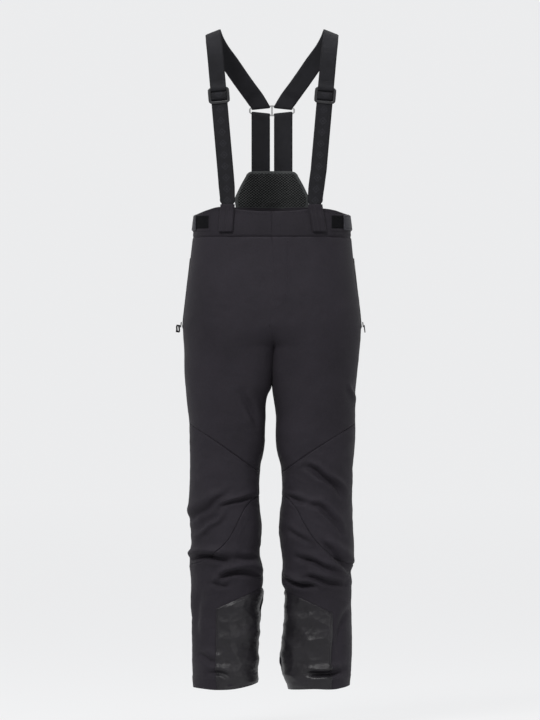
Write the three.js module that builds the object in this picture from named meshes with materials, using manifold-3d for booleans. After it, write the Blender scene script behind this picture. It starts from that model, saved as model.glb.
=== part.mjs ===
// Insulated ski trousers with shoulder straps, in millimetres, +Z up.
// The front faces -Y and the wearer's left is +X. The origin is the centre of the waist
// opening, level with the waistband's front top edge.
import * as THREE from 'three';
import { mergeVertices } from 'three/addons/utils/BufferGeometryUtils.js';
import Module from 'manifold-3d';

const wasm = await Module();
wasm.setup();

// ---- Driving dimensions ----------------------------------------------------------------

const GAP = 0.3; // clearance kept between touching pieces
const FACET = 1; // how far a panel's flat facets lie inside its curved surface
const WALL = 2.6; // shell fabric with its insulation
const LINING = 1.4; // pocket bags, gaiters and facings
const TRIM = 1.2; // patches and reinforcements sewn on the outside

// Heights along the garment, measured from the waistband's front top edge.
const WAISTBAND_HEIGHT = 57;
const BACK_RISE = 8;
const HIP_DROP = 265;
const CROTCH_DROP = 288;
const LEG_SPLIT_DROP = 396;
const HEM_DROP = 1068;

// Half widths of the whole garment at each height, and half depths of one section.
const WAIST_HALF_WIDTH = 172;
const HIP_HALF_WIDTH = 202;
const SPLIT_HALF_WIDTH = 193;
const KNEE_HALF_WIDTH = 182;
const HEM_HALF_WIDTH = 178;
const WAIST_HALF_DEPTH = 100;
const HIP_HALF_DEPTH = 114;
const SPLIT_HALF_DEPTH = 98;
const KNEE_HALF_DEPTH = 80;
const HEM_HALF_DEPTH = 75;
const SEAT_FULLNESS = 10;

// Half of the space between the legs.
const KNEE_INNER = 23;
const HEM_INNER = 30;

// Knee panel seams, outer and inner ends.
const KNEE_SEAM_TOP_OUTER = 477;
const KNEE_SEAM_TOP_INNER = 583;
const KNEE_SEAM_LOW_OUTER = 790;
const KNEE_SEAM_LOW_INNER = 640;
const CALF_SEAM_DROP = 640;

// Hem pieces.
const GUARD_HEIGHT_OUTER = 170;
const GUARD_HEIGHT_INNER = 212;
const GUARD_REACH = THREE.MathUtils.degToRad(105);
const GAITER_TOP = 165;
const GAITER_BOTTOM = 16;
const GAITER_INSET = 9;
const ELASTIC_HEIGHT = 12;

// Waist closure and fly.
const FLAP_LENGTH = 48;
const UNDERLAP_LENGTH = 34;
const UNDERLAP_PAST_CENTRE = 18;
const UNDERLAP_TOP = 2;
const SNAP_RADIUS = 6.5;
const SNAP_RIM = 2.5;
const SNAP_CLEARANCE = 1;
const SNAP_HEIGHTS = [-17, -40];
const FLY_TOP = 62;
const FLY_LENGTH = 138;
const ZIP_CHAIN_WIDTH = 5;
const ZIP_CHAIN_HEIGHT = 1.5;
const ZIP_TAPE = 0.8;
const FLY_TAPE_WIDTH = 28;
const FLY_ROOM = 3.6;
const SLIDER_LENGTH = 12;
const SLIDER_WIDTH = 8.5;
const SLIDER_HEIGHT = 2.2;

// Hand pocket zips at the side seams.
const POCKET_TOP = 104;
const POCKET_LENGTH = 158;
const POCKET_TAPE_WIDTH = 24;
const BAG_BOTTOM = 330;
const BAG_FRONT_ANGLE = THREE.MathUtils.degToRad(100);
const BAG_SIDE_ANGLE = THREE.MathUtils.degToRad(169);
const PULLER_LENGTH = 17;
const PULLER_WIDTH = 8.5;
const PULLER_THICK = 2.2;
const PULLER_RIM = 2;
const PULLER_ROOT = 4; // solid cloth or metal above the puller's opening
const FLY_PULLER_LENGTH = 19;
const FLY_PULLER_WIDTH = 7;
const FLY_PULLER_THICK = 1;

// Waist adjusters at the sides.
const ADJUSTER_TOP = 9;
const ADJUSTER_HEIGHT = 33;
const PATCH_REACH = 41; // how far they come forward from the side, measured across
const TAB_REACH = 12;
const TAB_BACK_Y = 30;
const TAB_THICK = 1.8;

// Straps.
const STRAP_WIDTH = 36;
const STRAP_THICK = 1.4;
const LAYER_GAP = 0.6; // between the two layers of webbing on the front
const STRAP_FROM_SIDE = 71;
const STRAP_BOTTOM = 40;
const STRAP_NECK_WIDTH = 28;
const LOOP_WIDTH = 33;
const LOOP_BOTTOM = 46;
const LOOP_TOP = 15;
const LOOP_WALL = 1.5;
const LOOP_FOOT_REACH = 1.1;
const STRAIGHT_FROM = 90;
const STRAIGHT_TO = 340;
const STRAIGHT_LEAN = 22;
const SHOULDER_HEIGHT = 403;
const SHOULDER_SLOPE = THREE.MathUtils.degToRad(21.8);
const BACK_RUN_SLOPE = THREE.MathUtils.degToRad(34.8);
const BUCKLE_HEIGHT = 258;
const BUCKLE_RAIL = 5;
const BUCKLE_PLAY = 1;
const BUCKLE_TALL = 37;
const BUCKLE_BAR = 5;
const BUCKLE_THICK = 2.4;

// Back connector ring, lower straps and mesh panel.
const RING_STANDOFF = 8.3;
const RING_HEIGHT = 232;
const RING_TIP_LENGTH = 5.5;
const RING_TIP_RISE = 7.5;
const RING_TIP_CUT = 4;
const RING_NODE_RISE = 12.5;
const RING_ROD = 3.6;
const RING_THICK = 4;
const RING_STRAP_SPACE = 9; // between the two straps of a pair
const RING_STRAP_WIDTH = 42;
const TAIL_LENGTH = 30;
const PANEL_TOP = 95;
const PANEL_TOP_HALF = 57;
const PANEL_LOW_HALF = 84;
const PANEL_SHOULDER = 34;
const PANEL_THICK = 6;
const PANEL_CORNER = 12;
const PANEL_OVERLAP = 26;

// ---- Materials -------------------------------------------------------------------------

const looks = {
  shell: new THREE.MeshStandardMaterial({ color: 0x312e34, roughness: 0.85, metalness: 0 }),
  waistband: new THREE.MeshStandardMaterial({ color: 0x2e2b30, roughness: 0.9, metalness: 0 }),
  guard: new THREE.MeshStandardMaterial({ color: 0x403d41, roughness: 0.45, metalness: 0 }),
  lining: new THREE.MeshStandardMaterial({ color: 0x26262a, roughness: 0.8, metalness: 0 }),
  webbing: new THREE.MeshStandardMaterial({ color: 0x2d2c31, roughness: 0.75, metalness: 0 }),
  hookLoop: new THREE.MeshStandardMaterial({ color: 0x1a1a1e, roughness: 1, metalness: 0 }),
  mesh: new THREE.MeshStandardMaterial({ color: 0x2b2d2e, roughness: 0.95, metalness: 0 }),
  buckle: new THREE.MeshStandardMaterial({ color: 0x2a2a2d, roughness: 0.5, metalness: 0 }),
  steel: new THREE.MeshStandardMaterial({ color: 0xb8b9bc, roughness: 0.35, metalness: 0.9 }),
  zip: new THREE.MeshStandardMaterial({ color: 0x202024, roughness: 0.6, metalness: 0 }),
};

const skiPants = new THREE.Group();

// ---- Solid helpers ---------------------------------------------------------------------

// Merges shared corners and turns the faces outward.
function solid(geometry) {
  for (const name of ['normal', 'uv']) geometry.deleteAttribute(name);
  const merged = mergeVertices(geometry, 1e-4);
  const index = merged.index.array;
  const corner = [new THREE.Vector3(), new THREE.Vector3(), new THREE.Vector3()];
  let volume = 0;
  for (let i = 0; i < index.length; i += 3) {
    corner.forEach((c, k) => c.fromBufferAttribute(merged.attributes.position, index[i + k]));
    volume += corner[0].dot(corner[1].clone().cross(corner[2]));
  }
  if (volume < 0) {
    for (let i = 0; i < index.length; i += 3) {
      [index[i], index[i + 1]] = [index[i + 1], index[i]];
    }
  }
  return merged;
}

function add(name, geometry, look) {
  const mesh = new THREE.Mesh(solid(geometry), look);
  mesh.name = name;
  skiPants.add(mesh);
  return mesh;
}

// A closed shell between two grids of points. A tube joins its last column to its first.
function shell(columns, rows, outer, inner, tube = false) {
  const positions = [];
  const index = [];
  const across = tube ? columns : columns + 1;
  for (const face of [outer, inner]) {
    for (let j = 0; j <= rows; j++) {
      for (let i = 0; i < across; i++) positions.push(...face(i / columns, j / rows));
    }
  }
  const at = (layer, i, j) => (layer * (rows + 1) + j) * across + (i % across);
  const quad = (a, b, c, d) => index.push(a, b, c, a, c, d);
  for (let j = 0; j < rows; j++) {
    for (let i = 0; i < columns; i++) {
      quad(at(0, i, j), at(0, i + 1, j), at(0, i + 1, j + 1), at(0, i, j + 1));
      quad(at(1, i, j), at(1, i, j + 1), at(1, i + 1, j + 1), at(1, i + 1, j));
    }
  }
  for (let i = 0; i < columns; i++) {
    quad(at(0, i, 0), at(1, i, 0), at(1, i + 1, 0), at(0, i + 1, 0));
    quad(at(0, i, rows), at(0, i + 1, rows), at(1, i + 1, rows), at(1, i, rows));
  }
  for (let j = 0; j < rows && !tube; j++) {
    quad(at(0, 0, j), at(0, 0, j + 1), at(1, 0, j + 1), at(1, 0, j));
    quad(at(0, columns, j), at(1, columns, j), at(1, columns, j + 1), at(0, columns, j + 1));
  }
  const geometry = new THREE.BufferGeometry();
  geometry.setAttribute('position', new THREE.Float32BufferAttribute(positions, 3));
  geometry.setIndex(index);
  return geometry;
}

// A flat strap through stations { at, wide, width }, square to its path.
function ribbon(stations, thickness) {
  const positions = [];
  const index = [];
  stations.forEach((station, k) => {
    const before = stations[Math.max(k - 1, 0)].at;
    const after = stations[Math.min(k + 1, stations.length - 1)].at;
    const along = after.clone().sub(before).normalize();
    const wide = station.wide.clone().addScaledVector(along, -station.wide.dot(along)).normalize();
    const thick = new THREE.Vector3().crossVectors(along, wide);
    for (const [w, t] of [[-1, -1], [1, -1], [1, 1], [-1, 1]]) {
      const corner = station.at.clone();
      corner.addScaledVector(wide, (w * station.width) / 2);
      corner.addScaledVector(thick, (t * thickness) / 2);
      positions.push(corner.x, corner.y, corner.z);
    }
  });
  const last = (stations.length - 1) * 4;
  for (let k = 0; k < last; k += 4) {
    for (let c = 0; c < 4; c++) {
      const next = (c + 1) % 4;
      index.push(k + c, k + next, k + 4 + next, k + c, k + 4 + next, k + 4 + c);
    }
  }
  index.push(0, 2, 1, 0, 3, 2, last, last + 1, last + 2, last, last + 2, last + 3);
  const geometry = new THREE.BufferGeometry();
  geometry.setAttribute('position', new THREE.Float32BufferAttribute(positions, 3));
  geometry.setIndex(index);
  return geometry;
}

// A closed outline, always drawn anticlockwise.
function outline(points) {
  const corners = points.map(([x, y]) => new THREE.Vector2(x, y));
  return new THREE.Shape(THREE.ShapeUtils.isClockWise(corners) ? corners.reverse() : corners);
}

function rectangle(x0, y0, x1, y1) {
  return outline([[x0, y0], [x1, y0], [x1, y1], [x0, y1]]);
}

// A plate drawn in X and Z, with its back face at the given y.
function uprightPlate(shape, thickness, backY) {
  const geometry = new THREE.ExtrudeGeometry(shape, { depth: thickness, bevelEnabled: false });
  geometry.rotateX(Math.PI / 2);
  geometry.translate(0, backY, 0);
  return geometry;
}

// A section drawn in X and Y, drawn out from z0 to z1, its y following the line yAt.
function sheared(shape, z0, z1, yAt) {
  const geometry = new THREE.ExtrudeGeometry(shape, { depth: z1 - z0, bevelEnabled: false });
  const position = geometry.attributes.position;
  for (let i = 0; i < position.count; i++) {
    const z = position.getZ(i) + z0;
    position.setXYZ(i, position.getX(i), position.getY(i) + yAt(z), z);
  }
  return geometry;
}

function toManifold(geometry) {
  const closed = solid(geometry);
  return new wasm.Manifold(new wasm.Mesh({
    numProp: 3,
    vertProperties: new Float32Array(closed.attributes.position.array),
    triVerts: new Uint32Array(closed.index.array),
  }));
}

function joined(geometries) {
  const whole = geometries.map(toManifold).reduce((a, b) => a.add(b)).getMesh();
  const geometry = new THREE.BufferGeometry();
  geometry.setAttribute('position', new THREE.Float32BufferAttribute(whole.vertProperties, 3));
  geometry.setIndex(Array.from(whole.triVerts));
  return geometry;
}

// ---- The trouser surface ---------------------------------------------------------------

// The two legs' sections part below the foot of the fly.
const FORK_START_DROP = FLY_TOP + FLY_LENGTH;

// Each station: drop from the waist, outer half width, space to the centre, front and seat depth.
const stations = [
  [0, WAIST_HALF_WIDTH, GAP / 2, WAIST_HALF_DEPTH, WAIST_HALF_DEPTH],
  [HIP_DROP, HIP_HALF_WIDTH, GAP / 2, HIP_HALF_DEPTH, HIP_HALF_DEPTH + SEAT_FULLNESS],
  [LEG_SPLIT_DROP, SPLIT_HALF_WIDTH, GAP / 2, SPLIT_HALF_DEPTH, SPLIT_HALF_DEPTH],
  [KNEE_SEAM_TOP_INNER, KNEE_HALF_WIDTH, KNEE_INNER, KNEE_HALF_DEPTH, KNEE_HALF_DEPTH],
  [HEM_DROP, HEM_HALF_WIDTH, HEM_INNER, HEM_HALF_DEPTH, HEM_HALF_DEPTH],
];

function sectionAt(z) {
  const drop = Math.max(-z, 0);
  let k = 1;
  while (k < stations.length - 1 && drop > stations[k][0]) k++;
  const [above, below] = [stations[k - 1], stations[k]];
  const share = (drop - above[0]) / (below[0] - above[0]);
  const [, outer, inner, front, seat] = above.map((v, i) => THREE.MathUtils.lerp(v, below[i], share));
  return { middle: (outer + inner) / 2, half: (outer - inner) / 2, front, seat };
}

// 1 where both legs share one section, falling to 0 at the crotch along a quarter circle.
function joinedShare(z) {
  const share = THREE.MathUtils.clamp((-z - FORK_START_DROP) / (CROTCH_DROP - FORK_START_DROP), 0, 1);
  return Math.sqrt(1 - share * share);
}

// Angle 0 is the inner seam, 90 degrees the front, 180 the side seam; the back is negative.
function bareSurface(z, angle) {
  const { middle, half, front, seat } = sectionAt(z);
  const round = Math.sin(angle);
  const share = Math.cos(angle) > 0 ? joinedShare(z) : 0;
  const bulge = Math.sqrt(round * round * (1 - share * share) + share * share);
  const y = round >= 0 ? -front * bulge : seat * bulge;
  return new THREE.Vector3(middle - half * Math.cos(angle), y, z);
}

// A point of the trousers, moved outward by offset. Side is 1 for the wearer's left.
function onTrousers(side, z, angle, offset) {
  const turn = angle >= 0 ? 0.02 : -0.02;
  const point = bareSurface(z, angle);
  const around = bareSurface(z, angle + turn).sub(point).multiplyScalar(Math.sign(turn));
  const down = bareSurface(z - 0.5, angle).sub(bareSurface(z + 0.5, angle));
  const outward = around.cross(down).normalize();
  const fromMiddle = new THREE.Vector3(point.x - sectionAt(z).middle, point.y, 0);
  if (outward.dot(fromMiddle) < 0) outward.negate();
  point.addScaledVector(outward, offset);
  return [side * point.x, point.y, point.z];
}

// The angle at which the front of the section is at a given distance from the centre.
function angleAtX(z, x) {
  const { middle, half } = sectionAt(z);
  return Math.acos(THREE.MathUtils.clamp((middle - x) / half, -1, 1));
}

// The seam gap as an angle, measured where the section is half as wide as the leg.
function seamAngle(z) {
  return GAP / 2 / sectionAt(z).front;
}

// A fabric piece on the trousers. angleAt takes a share and a height, heightAt takes two shares.
function fabric(side, columns, rows, angleAt, heightAt, low, high, tube = false) {
  const level = (offset, u, v) => (typeof offset === 'function' ? offset(u, v) : offset);
  const face = (offset) => (u, v) => {
    const z = heightAt(v, u);
    return onTrousers(side, z, angleAt(u, z), level(offset, u, v));
  };
  return shell(columns, rows, face(high), face(low), tube);
}

const lerp = THREE.MathUtils.lerp;
const sides = [['left', 1], ['right', -1]];
const frontLine = (z) => -sectionAt(z).front;

// ---- Legs ------------------------------------------------------------------------------

// Row heights crowd together around the crotch, where the centre seam turns under.
const BODY_ROWS = 14;
const CROTCH_ROW = 9;

function bodyHeight(v, bottom) {
  const row = v * BODY_ROWS;
  if (row <= CROTCH_ROW) {
    const share = Math.sin(((row / CROTCH_ROW) * Math.PI) / 2);
    return -lerp(WAISTBAND_HEIGHT + GAP, CROTCH_DROP, share);
  }
  const share = (row - CROTCH_ROW) / (BODY_ROWS - CROTCH_ROW);
  return -lerp(CROTCH_DROP, bottom - GAP / 2, share);
}

// Angles run from the inner or centre seam (share 0) to the side seam (share 1).
function halfAngle(sign) {
  return (u, z) => sign * lerp(seamAngle(z), Math.PI - seamAngle(z), u);
}

const kneeTop = (u) => lerp(KNEE_SEAM_TOP_INNER, KNEE_SEAM_TOP_OUTER, u);
const kneeLow = (u) => lerp(KNEE_SEAM_LOW_INNER, KNEE_SEAM_LOW_OUTER, u);

for (const [word, side] of sides) {
  add(`${word}_front_panel`,
    fabric(side, 12, BODY_ROWS, halfAngle(1), (v, u) => bodyHeight(v, kneeTop(u)), -WALL, 0),
    looks.shell);
  add(`${word}_seat_panel`,
    fabric(side, 12, BODY_ROWS, halfAngle(-1), (v) => bodyHeight(v, CALF_SEAM_DROP), -WALL, 0),
    looks.shell);
  add(`${word}_knee_panel`,
    fabric(side, 12, 4, halfAngle(1),
      (v, u) => -lerp(kneeTop(u) + GAP / 2, kneeLow(u) - GAP / 2, v), -WALL, 0),
    looks.shell);
  add(`${word}_shin_panel`,
    fabric(side, 12, 5, halfAngle(1), (v, u) => -lerp(kneeLow(u) + GAP / 2, HEM_DROP, v), -WALL, 0),
    looks.shell);
  add(`${word}_calf_panel`,
    fabric(side, 12, 5, halfAngle(-1), (v) => -lerp(CALF_SEAM_DROP + GAP / 2, HEM_DROP, v), -WALL, 0),
    looks.shell);

  // The scuff guard wraps the inside of the ankle, higher at the inner seam.
  const guardTop = (u) => lerp(GUARD_HEIGHT_INNER, GUARD_HEIGHT_OUTER, Math.abs(2 * u - 1));
  add(`${word}_scuff_guard`,
    fabric(side, 14, 3, (u) => lerp(-GUARD_REACH, GUARD_REACH, u),
      (v, u) => lerp(guardTop(u), 0, v) - HEM_DROP, GAP, GAP + TRIM),
    looks.guard);

  // The gaiter is sewn to the wall at its top and hangs free inside the hem.
  const gaiterInset = (u, v) => -WALL - GAP - GAITER_INSET * Math.min(2 * v, 1);
  const wholeTurn = (u) => lerp(-Math.PI, Math.PI, u);
  add(`${word}_snow_gaiter`,
    fabric(side, 24, 3, wholeTurn, (v) => lerp(GAITER_TOP, GAITER_BOTTOM, v) - HEM_DROP,
      (u, v) => gaiterInset(u, v) - LINING, gaiterInset, true),
    looks.lining);
  const elasticLow = -WALL - GAITER_INSET;
  add(`${word}_gaiter_elastic`,
    fabric(side, 24, 1, wholeTurn, (v) => GAITER_BOTTOM + lerp(ELASTIC_HEIGHT, 0, v) - HEM_DROP,
      elasticLow, elasticLow + TRIM, true),
    looks.webbing);
}

// ---- Waistband -------------------------------------------------------------------------

const bandHeight = (v) => -lerp(0, WAISTBAND_HEIGHT, v);
const flapEdge = (z) => angleAtX(z, FLAP_LENGTH);

add('waistband_front_right',
  fabric(-1, 10, 2, halfAngle(1), bandHeight, -WALL, 0), looks.waistband);
add('waistband_front_left',
  fabric(1, 8, 2, (u, z) => lerp(flapEdge(z), Math.PI - seamAngle(z), u), bandHeight, -WALL, 0),
  looks.waistband);
add('waist_closure_flap',
  fabric(1, 4, 2, (u, z) => lerp(seamAngle(z), angleAtX(z, FLAP_LENGTH - GAP), u), bandHeight,
    -WALL, 0),
  looks.waistband);

// The back of the waistband is one piece, from side seam to side seam.
function backBand(offset) {
  return (u, v) => {
    const side = u < 0.5 ? 1 : -1;
    const z = v <= 0.5 ? lerp(BACK_RISE, 0, 2 * v) : lerp(0, -WAISTBAND_HEIGHT, 2 * v - 1);
    const share = Math.abs(2 * u - 1);
    const point = onTrousers(side, z, -lerp(1e-6, Math.PI - seamAngle(z), share), offset);
    return share === 0 ? [0, point[1], point[2]] : point;
  };
}
add('waistband_back', shell(16, 2, backBand(0), backBand(-WALL)), looks.waistband);

// Puts a mesh a given depth behind the front's outer face and leans it like the front.
const frontLean = Math.atan2(HIP_HALF_DEPTH - WAIST_HALF_DEPTH, HIP_DROP);
function placeBehindFront(mesh, x, depth, z) {
  mesh.position.set(x, frontLine(z) + depth, z);
  mesh.rotation.x = -frontLean;
}

// Snap fasteners close the flap on an underlap behind it.
const SOCKET_DEPTH = 1.4;
const STUD_PLATE = 0.7;
const underlapFace = WALL + GAP + SOCKET_DEPTH + GAP + STUD_PLATE + GAP;
const underlap = rectangle(
  -UNDERLAP_PAST_CENTRE, underlapFace, UNDERLAP_LENGTH, underlapFace + LINING);
add('closure_underlap',
  sheared(underlap, -WAISTBAND_HEIGHT, -UNDERLAP_TOP, frontLine), looks.waistband);

SNAP_HEIGHTS.forEach((height, k) => {
  const word = ['upper', 'lower'][k];
  const bore = SNAP_RADIUS - SNAP_RIM;
  const post = bore - SNAP_CLEARANCE;
  const postTop = -STUD_PLATE - SOCKET_DEPTH;
  const socket = [[bore, 0], [SNAP_RADIUS, 0], [SNAP_RADIUS, SOCKET_DEPTH],
    [bore, SOCKET_DEPTH], [bore, 0]];
  const stud = [[0, 0], [SNAP_RADIUS, 0], [SNAP_RADIUS, -STUD_PLATE], [post, -STUD_PLATE],
    [post, postTop], [0, postTop]];
  const corners = (profile) => profile.map((p) => new THREE.Vector2(...p));
  const lathe = (profile) => new THREE.LatheGeometry(corners(profile), 16);
  const x = UNDERLAP_LENGTH / 2;
  placeBehindFront(add(`snap_socket_${word}`, lathe(socket), looks.steel), x, WALL + GAP, height);
  placeBehindFront(add(`snap_stud_${word}`, lathe(stud), looks.steel), x, underlapFace - GAP, height);
});

// ---- Fly zip ---------------------------------------------------------------------------

// Measured back from the outer face: room for the puller, slider, chain, tape and shield.
const pullerBack = WALL + FLY_ROOM + 1;
const sliderBack = pullerBack + GAP + SLIDER_HEIGHT;
const chainFace = sliderBack + GAP;
const tapeFace = chainFace + ZIP_CHAIN_HEIGHT;
const tapeBack = tapeFace + ZIP_TAPE;
const shieldFace = tapeBack + GAP;

const halfChain = ZIP_CHAIN_WIDTH / 2;
const halfTape = FLY_TAPE_WIDTH / 2;
const flyZipSection = outline([
  [-halfTape, tapeFace], [-halfChain, tapeFace], [-halfChain, chainFace], [halfChain, chainFace],
  [halfChain, tapeFace], [halfTape, tapeFace], [halfTape, tapeBack], [-halfTape, tapeBack],
]);
add('fly_zip', sheared(flyZipSection, -FLY_TOP - FLY_LENGTH, -FLY_TOP, frontLine), looks.zip);

// The shield's two long edges run forward to the shell on both sides of the zip.
const shieldHalf = halfTape + 3;
const shieldSection = outline([
  [-shieldHalf, WALL + GAP], [-shieldHalf + LINING, WALL + GAP], [-shieldHalf + LINING, shieldFace],
  [shieldHalf - LINING, shieldFace], [shieldHalf - LINING, WALL + GAP], [shieldHalf, WALL + GAP],
  [shieldHalf, shieldFace + LINING], [-shieldHalf, shieldFace + LINING],
]);
add('fly_shield', sheared(shieldSection, -FLY_TOP - FLY_LENGTH, -FLY_TOP, frontLine), looks.lining);

const flySliderZ = -FLY_TOP - SLIDER_LENGTH;
const sliderShape = () => outline([
  [-SLIDER_WIDTH / 2, SLIDER_LENGTH / 2], [-SLIDER_WIDTH / 3, -SLIDER_LENGTH / 2],
  [SLIDER_WIDTH / 3, -SLIDER_LENGTH / 2], [SLIDER_WIDTH / 2, SLIDER_LENGTH / 2],
]);
const flySlider = uprightPlate(sliderShape(), SLIDER_HEIGHT, 0);
placeBehindFront(add('fly_slider', flySlider, looks.steel), 0, sliderBack, flySliderZ);

function pullerShape(width, length) {
  const half = width / 2;
  const bottom = PULLER_RIM - length;
  const shape = rectangle(-half, bottom, half, PULLER_RIM);
  shape.holes.push(rectangle(
    PULLER_RIM - half, bottom + PULLER_RIM, half - PULLER_RIM, PULLER_RIM - PULLER_ROOT));
  return shape;
}
const flyPullerShape = pullerShape(FLY_PULLER_WIDTH, FLY_PULLER_LENGTH);
const flyPuller = uprightPlate(flyPullerShape, FLY_PULLER_THICK, 0);
placeBehindFront(add('fly_puller', flyPuller, looks.steel), 0, pullerBack, flySliderZ);

// ---- Hand pockets ----------------------------------------------------------------------

// The side seam is straight over the pocket, so slider and puller follow one line.
const sideLean = Math.atan2(HIP_HALF_WIDTH - WAIST_HALF_WIDTH, HIP_DROP);
const pocketSliderZ = -POCKET_TOP - POCKET_LENGTH + SLIDER_LENGTH / 2 + 2;
const sliderOffset = GAP + ZIP_TAPE + ZIP_CHAIN_HEIGHT + GAP;

// Shares across the tape where the chain starts and stops.
const chainShare = ZIP_CHAIN_WIDTH / POCKET_TAPE_WIDTH / 2;
const zipColumns = [0, 0.5 - chainShare - 0.01, 0.5 - chainShare, 0.5 + chainShare,
  0.5 + chainShare + 0.01, 1];

for (const [word, side] of sides) {
  const columns = zipColumns.length - 1;
  const pick = (u) => Math.round(u * columns);
  const tapeAngle = (u, z) => {
    const half = Math.asin(POCKET_TAPE_WIDTH / 2 / sectionAt(z).front);
    return Math.PI + lerp(-half, half, zipColumns[pick(u)]);
  };
  const raised = (u) => [2, 3].includes(pick(u));
  add(`${word}_pocket_zip`,
    fabric(side, columns, 4, tapeAngle, (v) => -POCKET_TOP - v * POCKET_LENGTH,
      GAP, (u) => GAP + ZIP_TAPE + (raised(u) ? ZIP_CHAIN_HEIGHT : 0)),
    looks.zip);

  const placeAtSide = (mesh, offset, drop) => {
    const [x, , z] = onTrousers(side, pocketSliderZ - drop, Math.PI, offset);
    mesh.position.set(x, 0, z);
    mesh.rotation.y = -side * sideLean;
  };
  const slider = uprightPlate(sliderShape(), SLIDER_HEIGHT, 0).rotateZ((side * Math.PI) / 2);
  placeAtSide(add(`${word}_pocket_slider`, slider, looks.steel), sliderOffset, 0);

  // The puller loop stands out from the right slider and lies flat on the left one.
  const loopShape = pullerShape(PULLER_WIDTH, PULLER_LENGTH);
  const puller = uprightPlate(loopShape, PULLER_THICK, PULLER_THICK / 2);
  const stands = word === 'right';
  if (!stands) puller.rotateZ(Math.PI / 2);
  const reach = (stands ? PULLER_WIDTH : PULLER_THICK) / 2;
  placeAtSide(add(`${word}_pocket_puller`, puller, looks.webbing),
    sliderOffset + SLIDER_HEIGHT + GAP + reach, 3);

  add(`${word}_pocket_bag`,
    fabric(side, 8, 5, (u) => lerp(BAG_FRONT_ANGLE, BAG_SIDE_ANGLE, u),
      (v) => -lerp(POCKET_TOP, BAG_BOTTOM, v), -WALL - FACET - LINING, -WALL - FACET),
    looks.lining);
}

// ---- Waist adjusters -------------------------------------------------------------------

const adjusterHeight = (v) => -ADJUSTER_TOP - v * ADJUSTER_HEIGHT;
const tabOffset = GAP + TRIM + GAP;
const sideBackAngle = (z) => Math.PI + Math.asin(TAB_BACK_Y / sectionAt(z).seat);

for (const [word, side] of sides) {
  // From the given distance in front of the side seam, round to the back of the side.
  const aroundSide = (reach) => (u, z) =>
    lerp(angleAtX(z, WAIST_HALF_WIDTH - reach), sideBackAngle(z), u);
  add(`${word}_loop_patch`,
    fabric(side, 12, 1, aroundSide(PATCH_REACH), adjusterHeight, GAP, GAP + TRIM), looks.hookLoop);
  add(`${word}_waist_tab`,
    fabric(side, 12, 1, aroundSide(TAB_REACH), adjusterHeight, tabOffset, tabOffset + TAB_THICK),
    looks.waistband);
}

// ---- Straps ----------------------------------------------------------------------------

const STRAP_X = WAIST_HALF_WIDTH - STRAP_FROM_SIDE;
const STRAP_STANDOFF = 2.6; // the straps' straight run stands this far off the waist
const mainRunY = -WAIST_HALF_DEPTH - STRAP_STANDOFF - STRAP_THICK / 2;
const returnRunY = mainRunY - STRAP_THICK - LAYER_GAP;
const straightLean = Math.atan2(STRAIGHT_LEAN, STRAIGHT_TO - STRAIGHT_FROM);
const STRAP_OUT = 3; // how far the strap has moved outward where its straight run starts
const strapXAt = (z) => STRAP_X + STRAP_OUT + (z - STRAIGHT_FROM) * Math.tan(straightLean);
const place = (side, x, y, z) => new THREE.Vector3(side * x, y, z);

// The mesh panel stands on the back of the waistband, and the ring hangs behind its top.
const panelFace = WAIST_HALF_DEPTH - WALL / 2 - PANEL_THICK / 2;
const panelBack = panelFace + PANEL_THICK;
const RING_Y = panelBack + RING_STANDOFF;
const RING_STRAP_X = (RING_STRAP_WIDTH + RING_STRAP_SPACE) / 2;
const RING_HALF_WIDTH = RING_STRAP_X + RING_STRAP_WIDTH / 2 + RING_TIP_LENGTH;

// The rods of the ring fall outward from the centre nodes to the tips.
const ringShoulder = RING_HALF_WIDTH - RING_TIP_CUT;
const rodFall = Math.atan2(RING_NODE_RISE - RING_TIP_RISE, ringShoulder);
const rodCentre = RING_NODE_RISE - RING_ROD / 2 - RING_STRAP_X * Math.tan(rodFall);

// The turn of a strap end round a rod. Rise is 1 for an upper rod, -1 for a lower one.
const loopRadius = Math.hypot(RING_ROD, RING_THICK) / 2 + GAP + STRAP_THICK / 2;
function turnRoundRod(side, rise) {
  const wide = place(side, Math.cos(rodFall), 0, -rise * Math.sin(rodFall));
  const away = place(side, Math.sin(rodFall), 0, rise * Math.cos(rodFall));
  const centre = place(side, RING_STRAP_X, RING_Y, RING_HEIGHT + rise * rodCentre);
  // A station behind the rod by y, and up or down from it by distance, away from the ring.
  const station = (y, distance, width = RING_STRAP_WIDTH) => {
    const at = centre.clone().addScaledVector(away, distance);
    at.y += y;
    return { at, wide, width };
  };
  const turn = [];
  for (let degrees = 0; degrees <= 180; degrees += 30) {
    const angle = THREE.MathUtils.degToRad(degrees);
    turn.push(station(-loopRadius * Math.cos(angle), -loopRadius * Math.sin(angle)));
  }
  return { turn, station };
}

const frontWide = (side) => place(side, Math.cos(straightLean), 0, -Math.sin(straightLean));

// Where the straps meet the waistband: turned to lie flat on it.
function anchorAt(z, offset) {
  return new THREE.Vector3(...onTrousers(1, z, angleAtX(z, STRAP_X), offset));
}
const anchorOutward = anchorAt(0, 1).sub(anchorAt(0, 0));
const anchorYaw = Math.atan2(anchorOutward.x, -anchorOutward.y);

// How far the waistband falls away behind a flat laid on it at the strap's anchor, at a
// distance across that flat. A positive distance is toward the side seam.
function fallAt(across) {
  const anchor = anchorAt(0, 0);
  const anchorAngle = angleAtX(0, STRAP_X);
  const pointAt = (turn) => new THREE.Vector3(...onTrousers(1, 0, anchorAngle + turn, 0)).sub(anchor);
  const flat = place(1, Math.cos(anchorYaw), Math.sin(anchorYaw), 0);
  let near = 0;
  let far = Math.sign(across) * 0.6;
  for (let k = 0; k < 30; k++) {
    const turn = (near + far) / 2;
    if (Math.abs(pointAt(turn).dot(flat)) < Math.abs(across)) near = turn;
    else far = turn;
  }
  return -pointAt(near).dot(anchorOutward);
}

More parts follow.
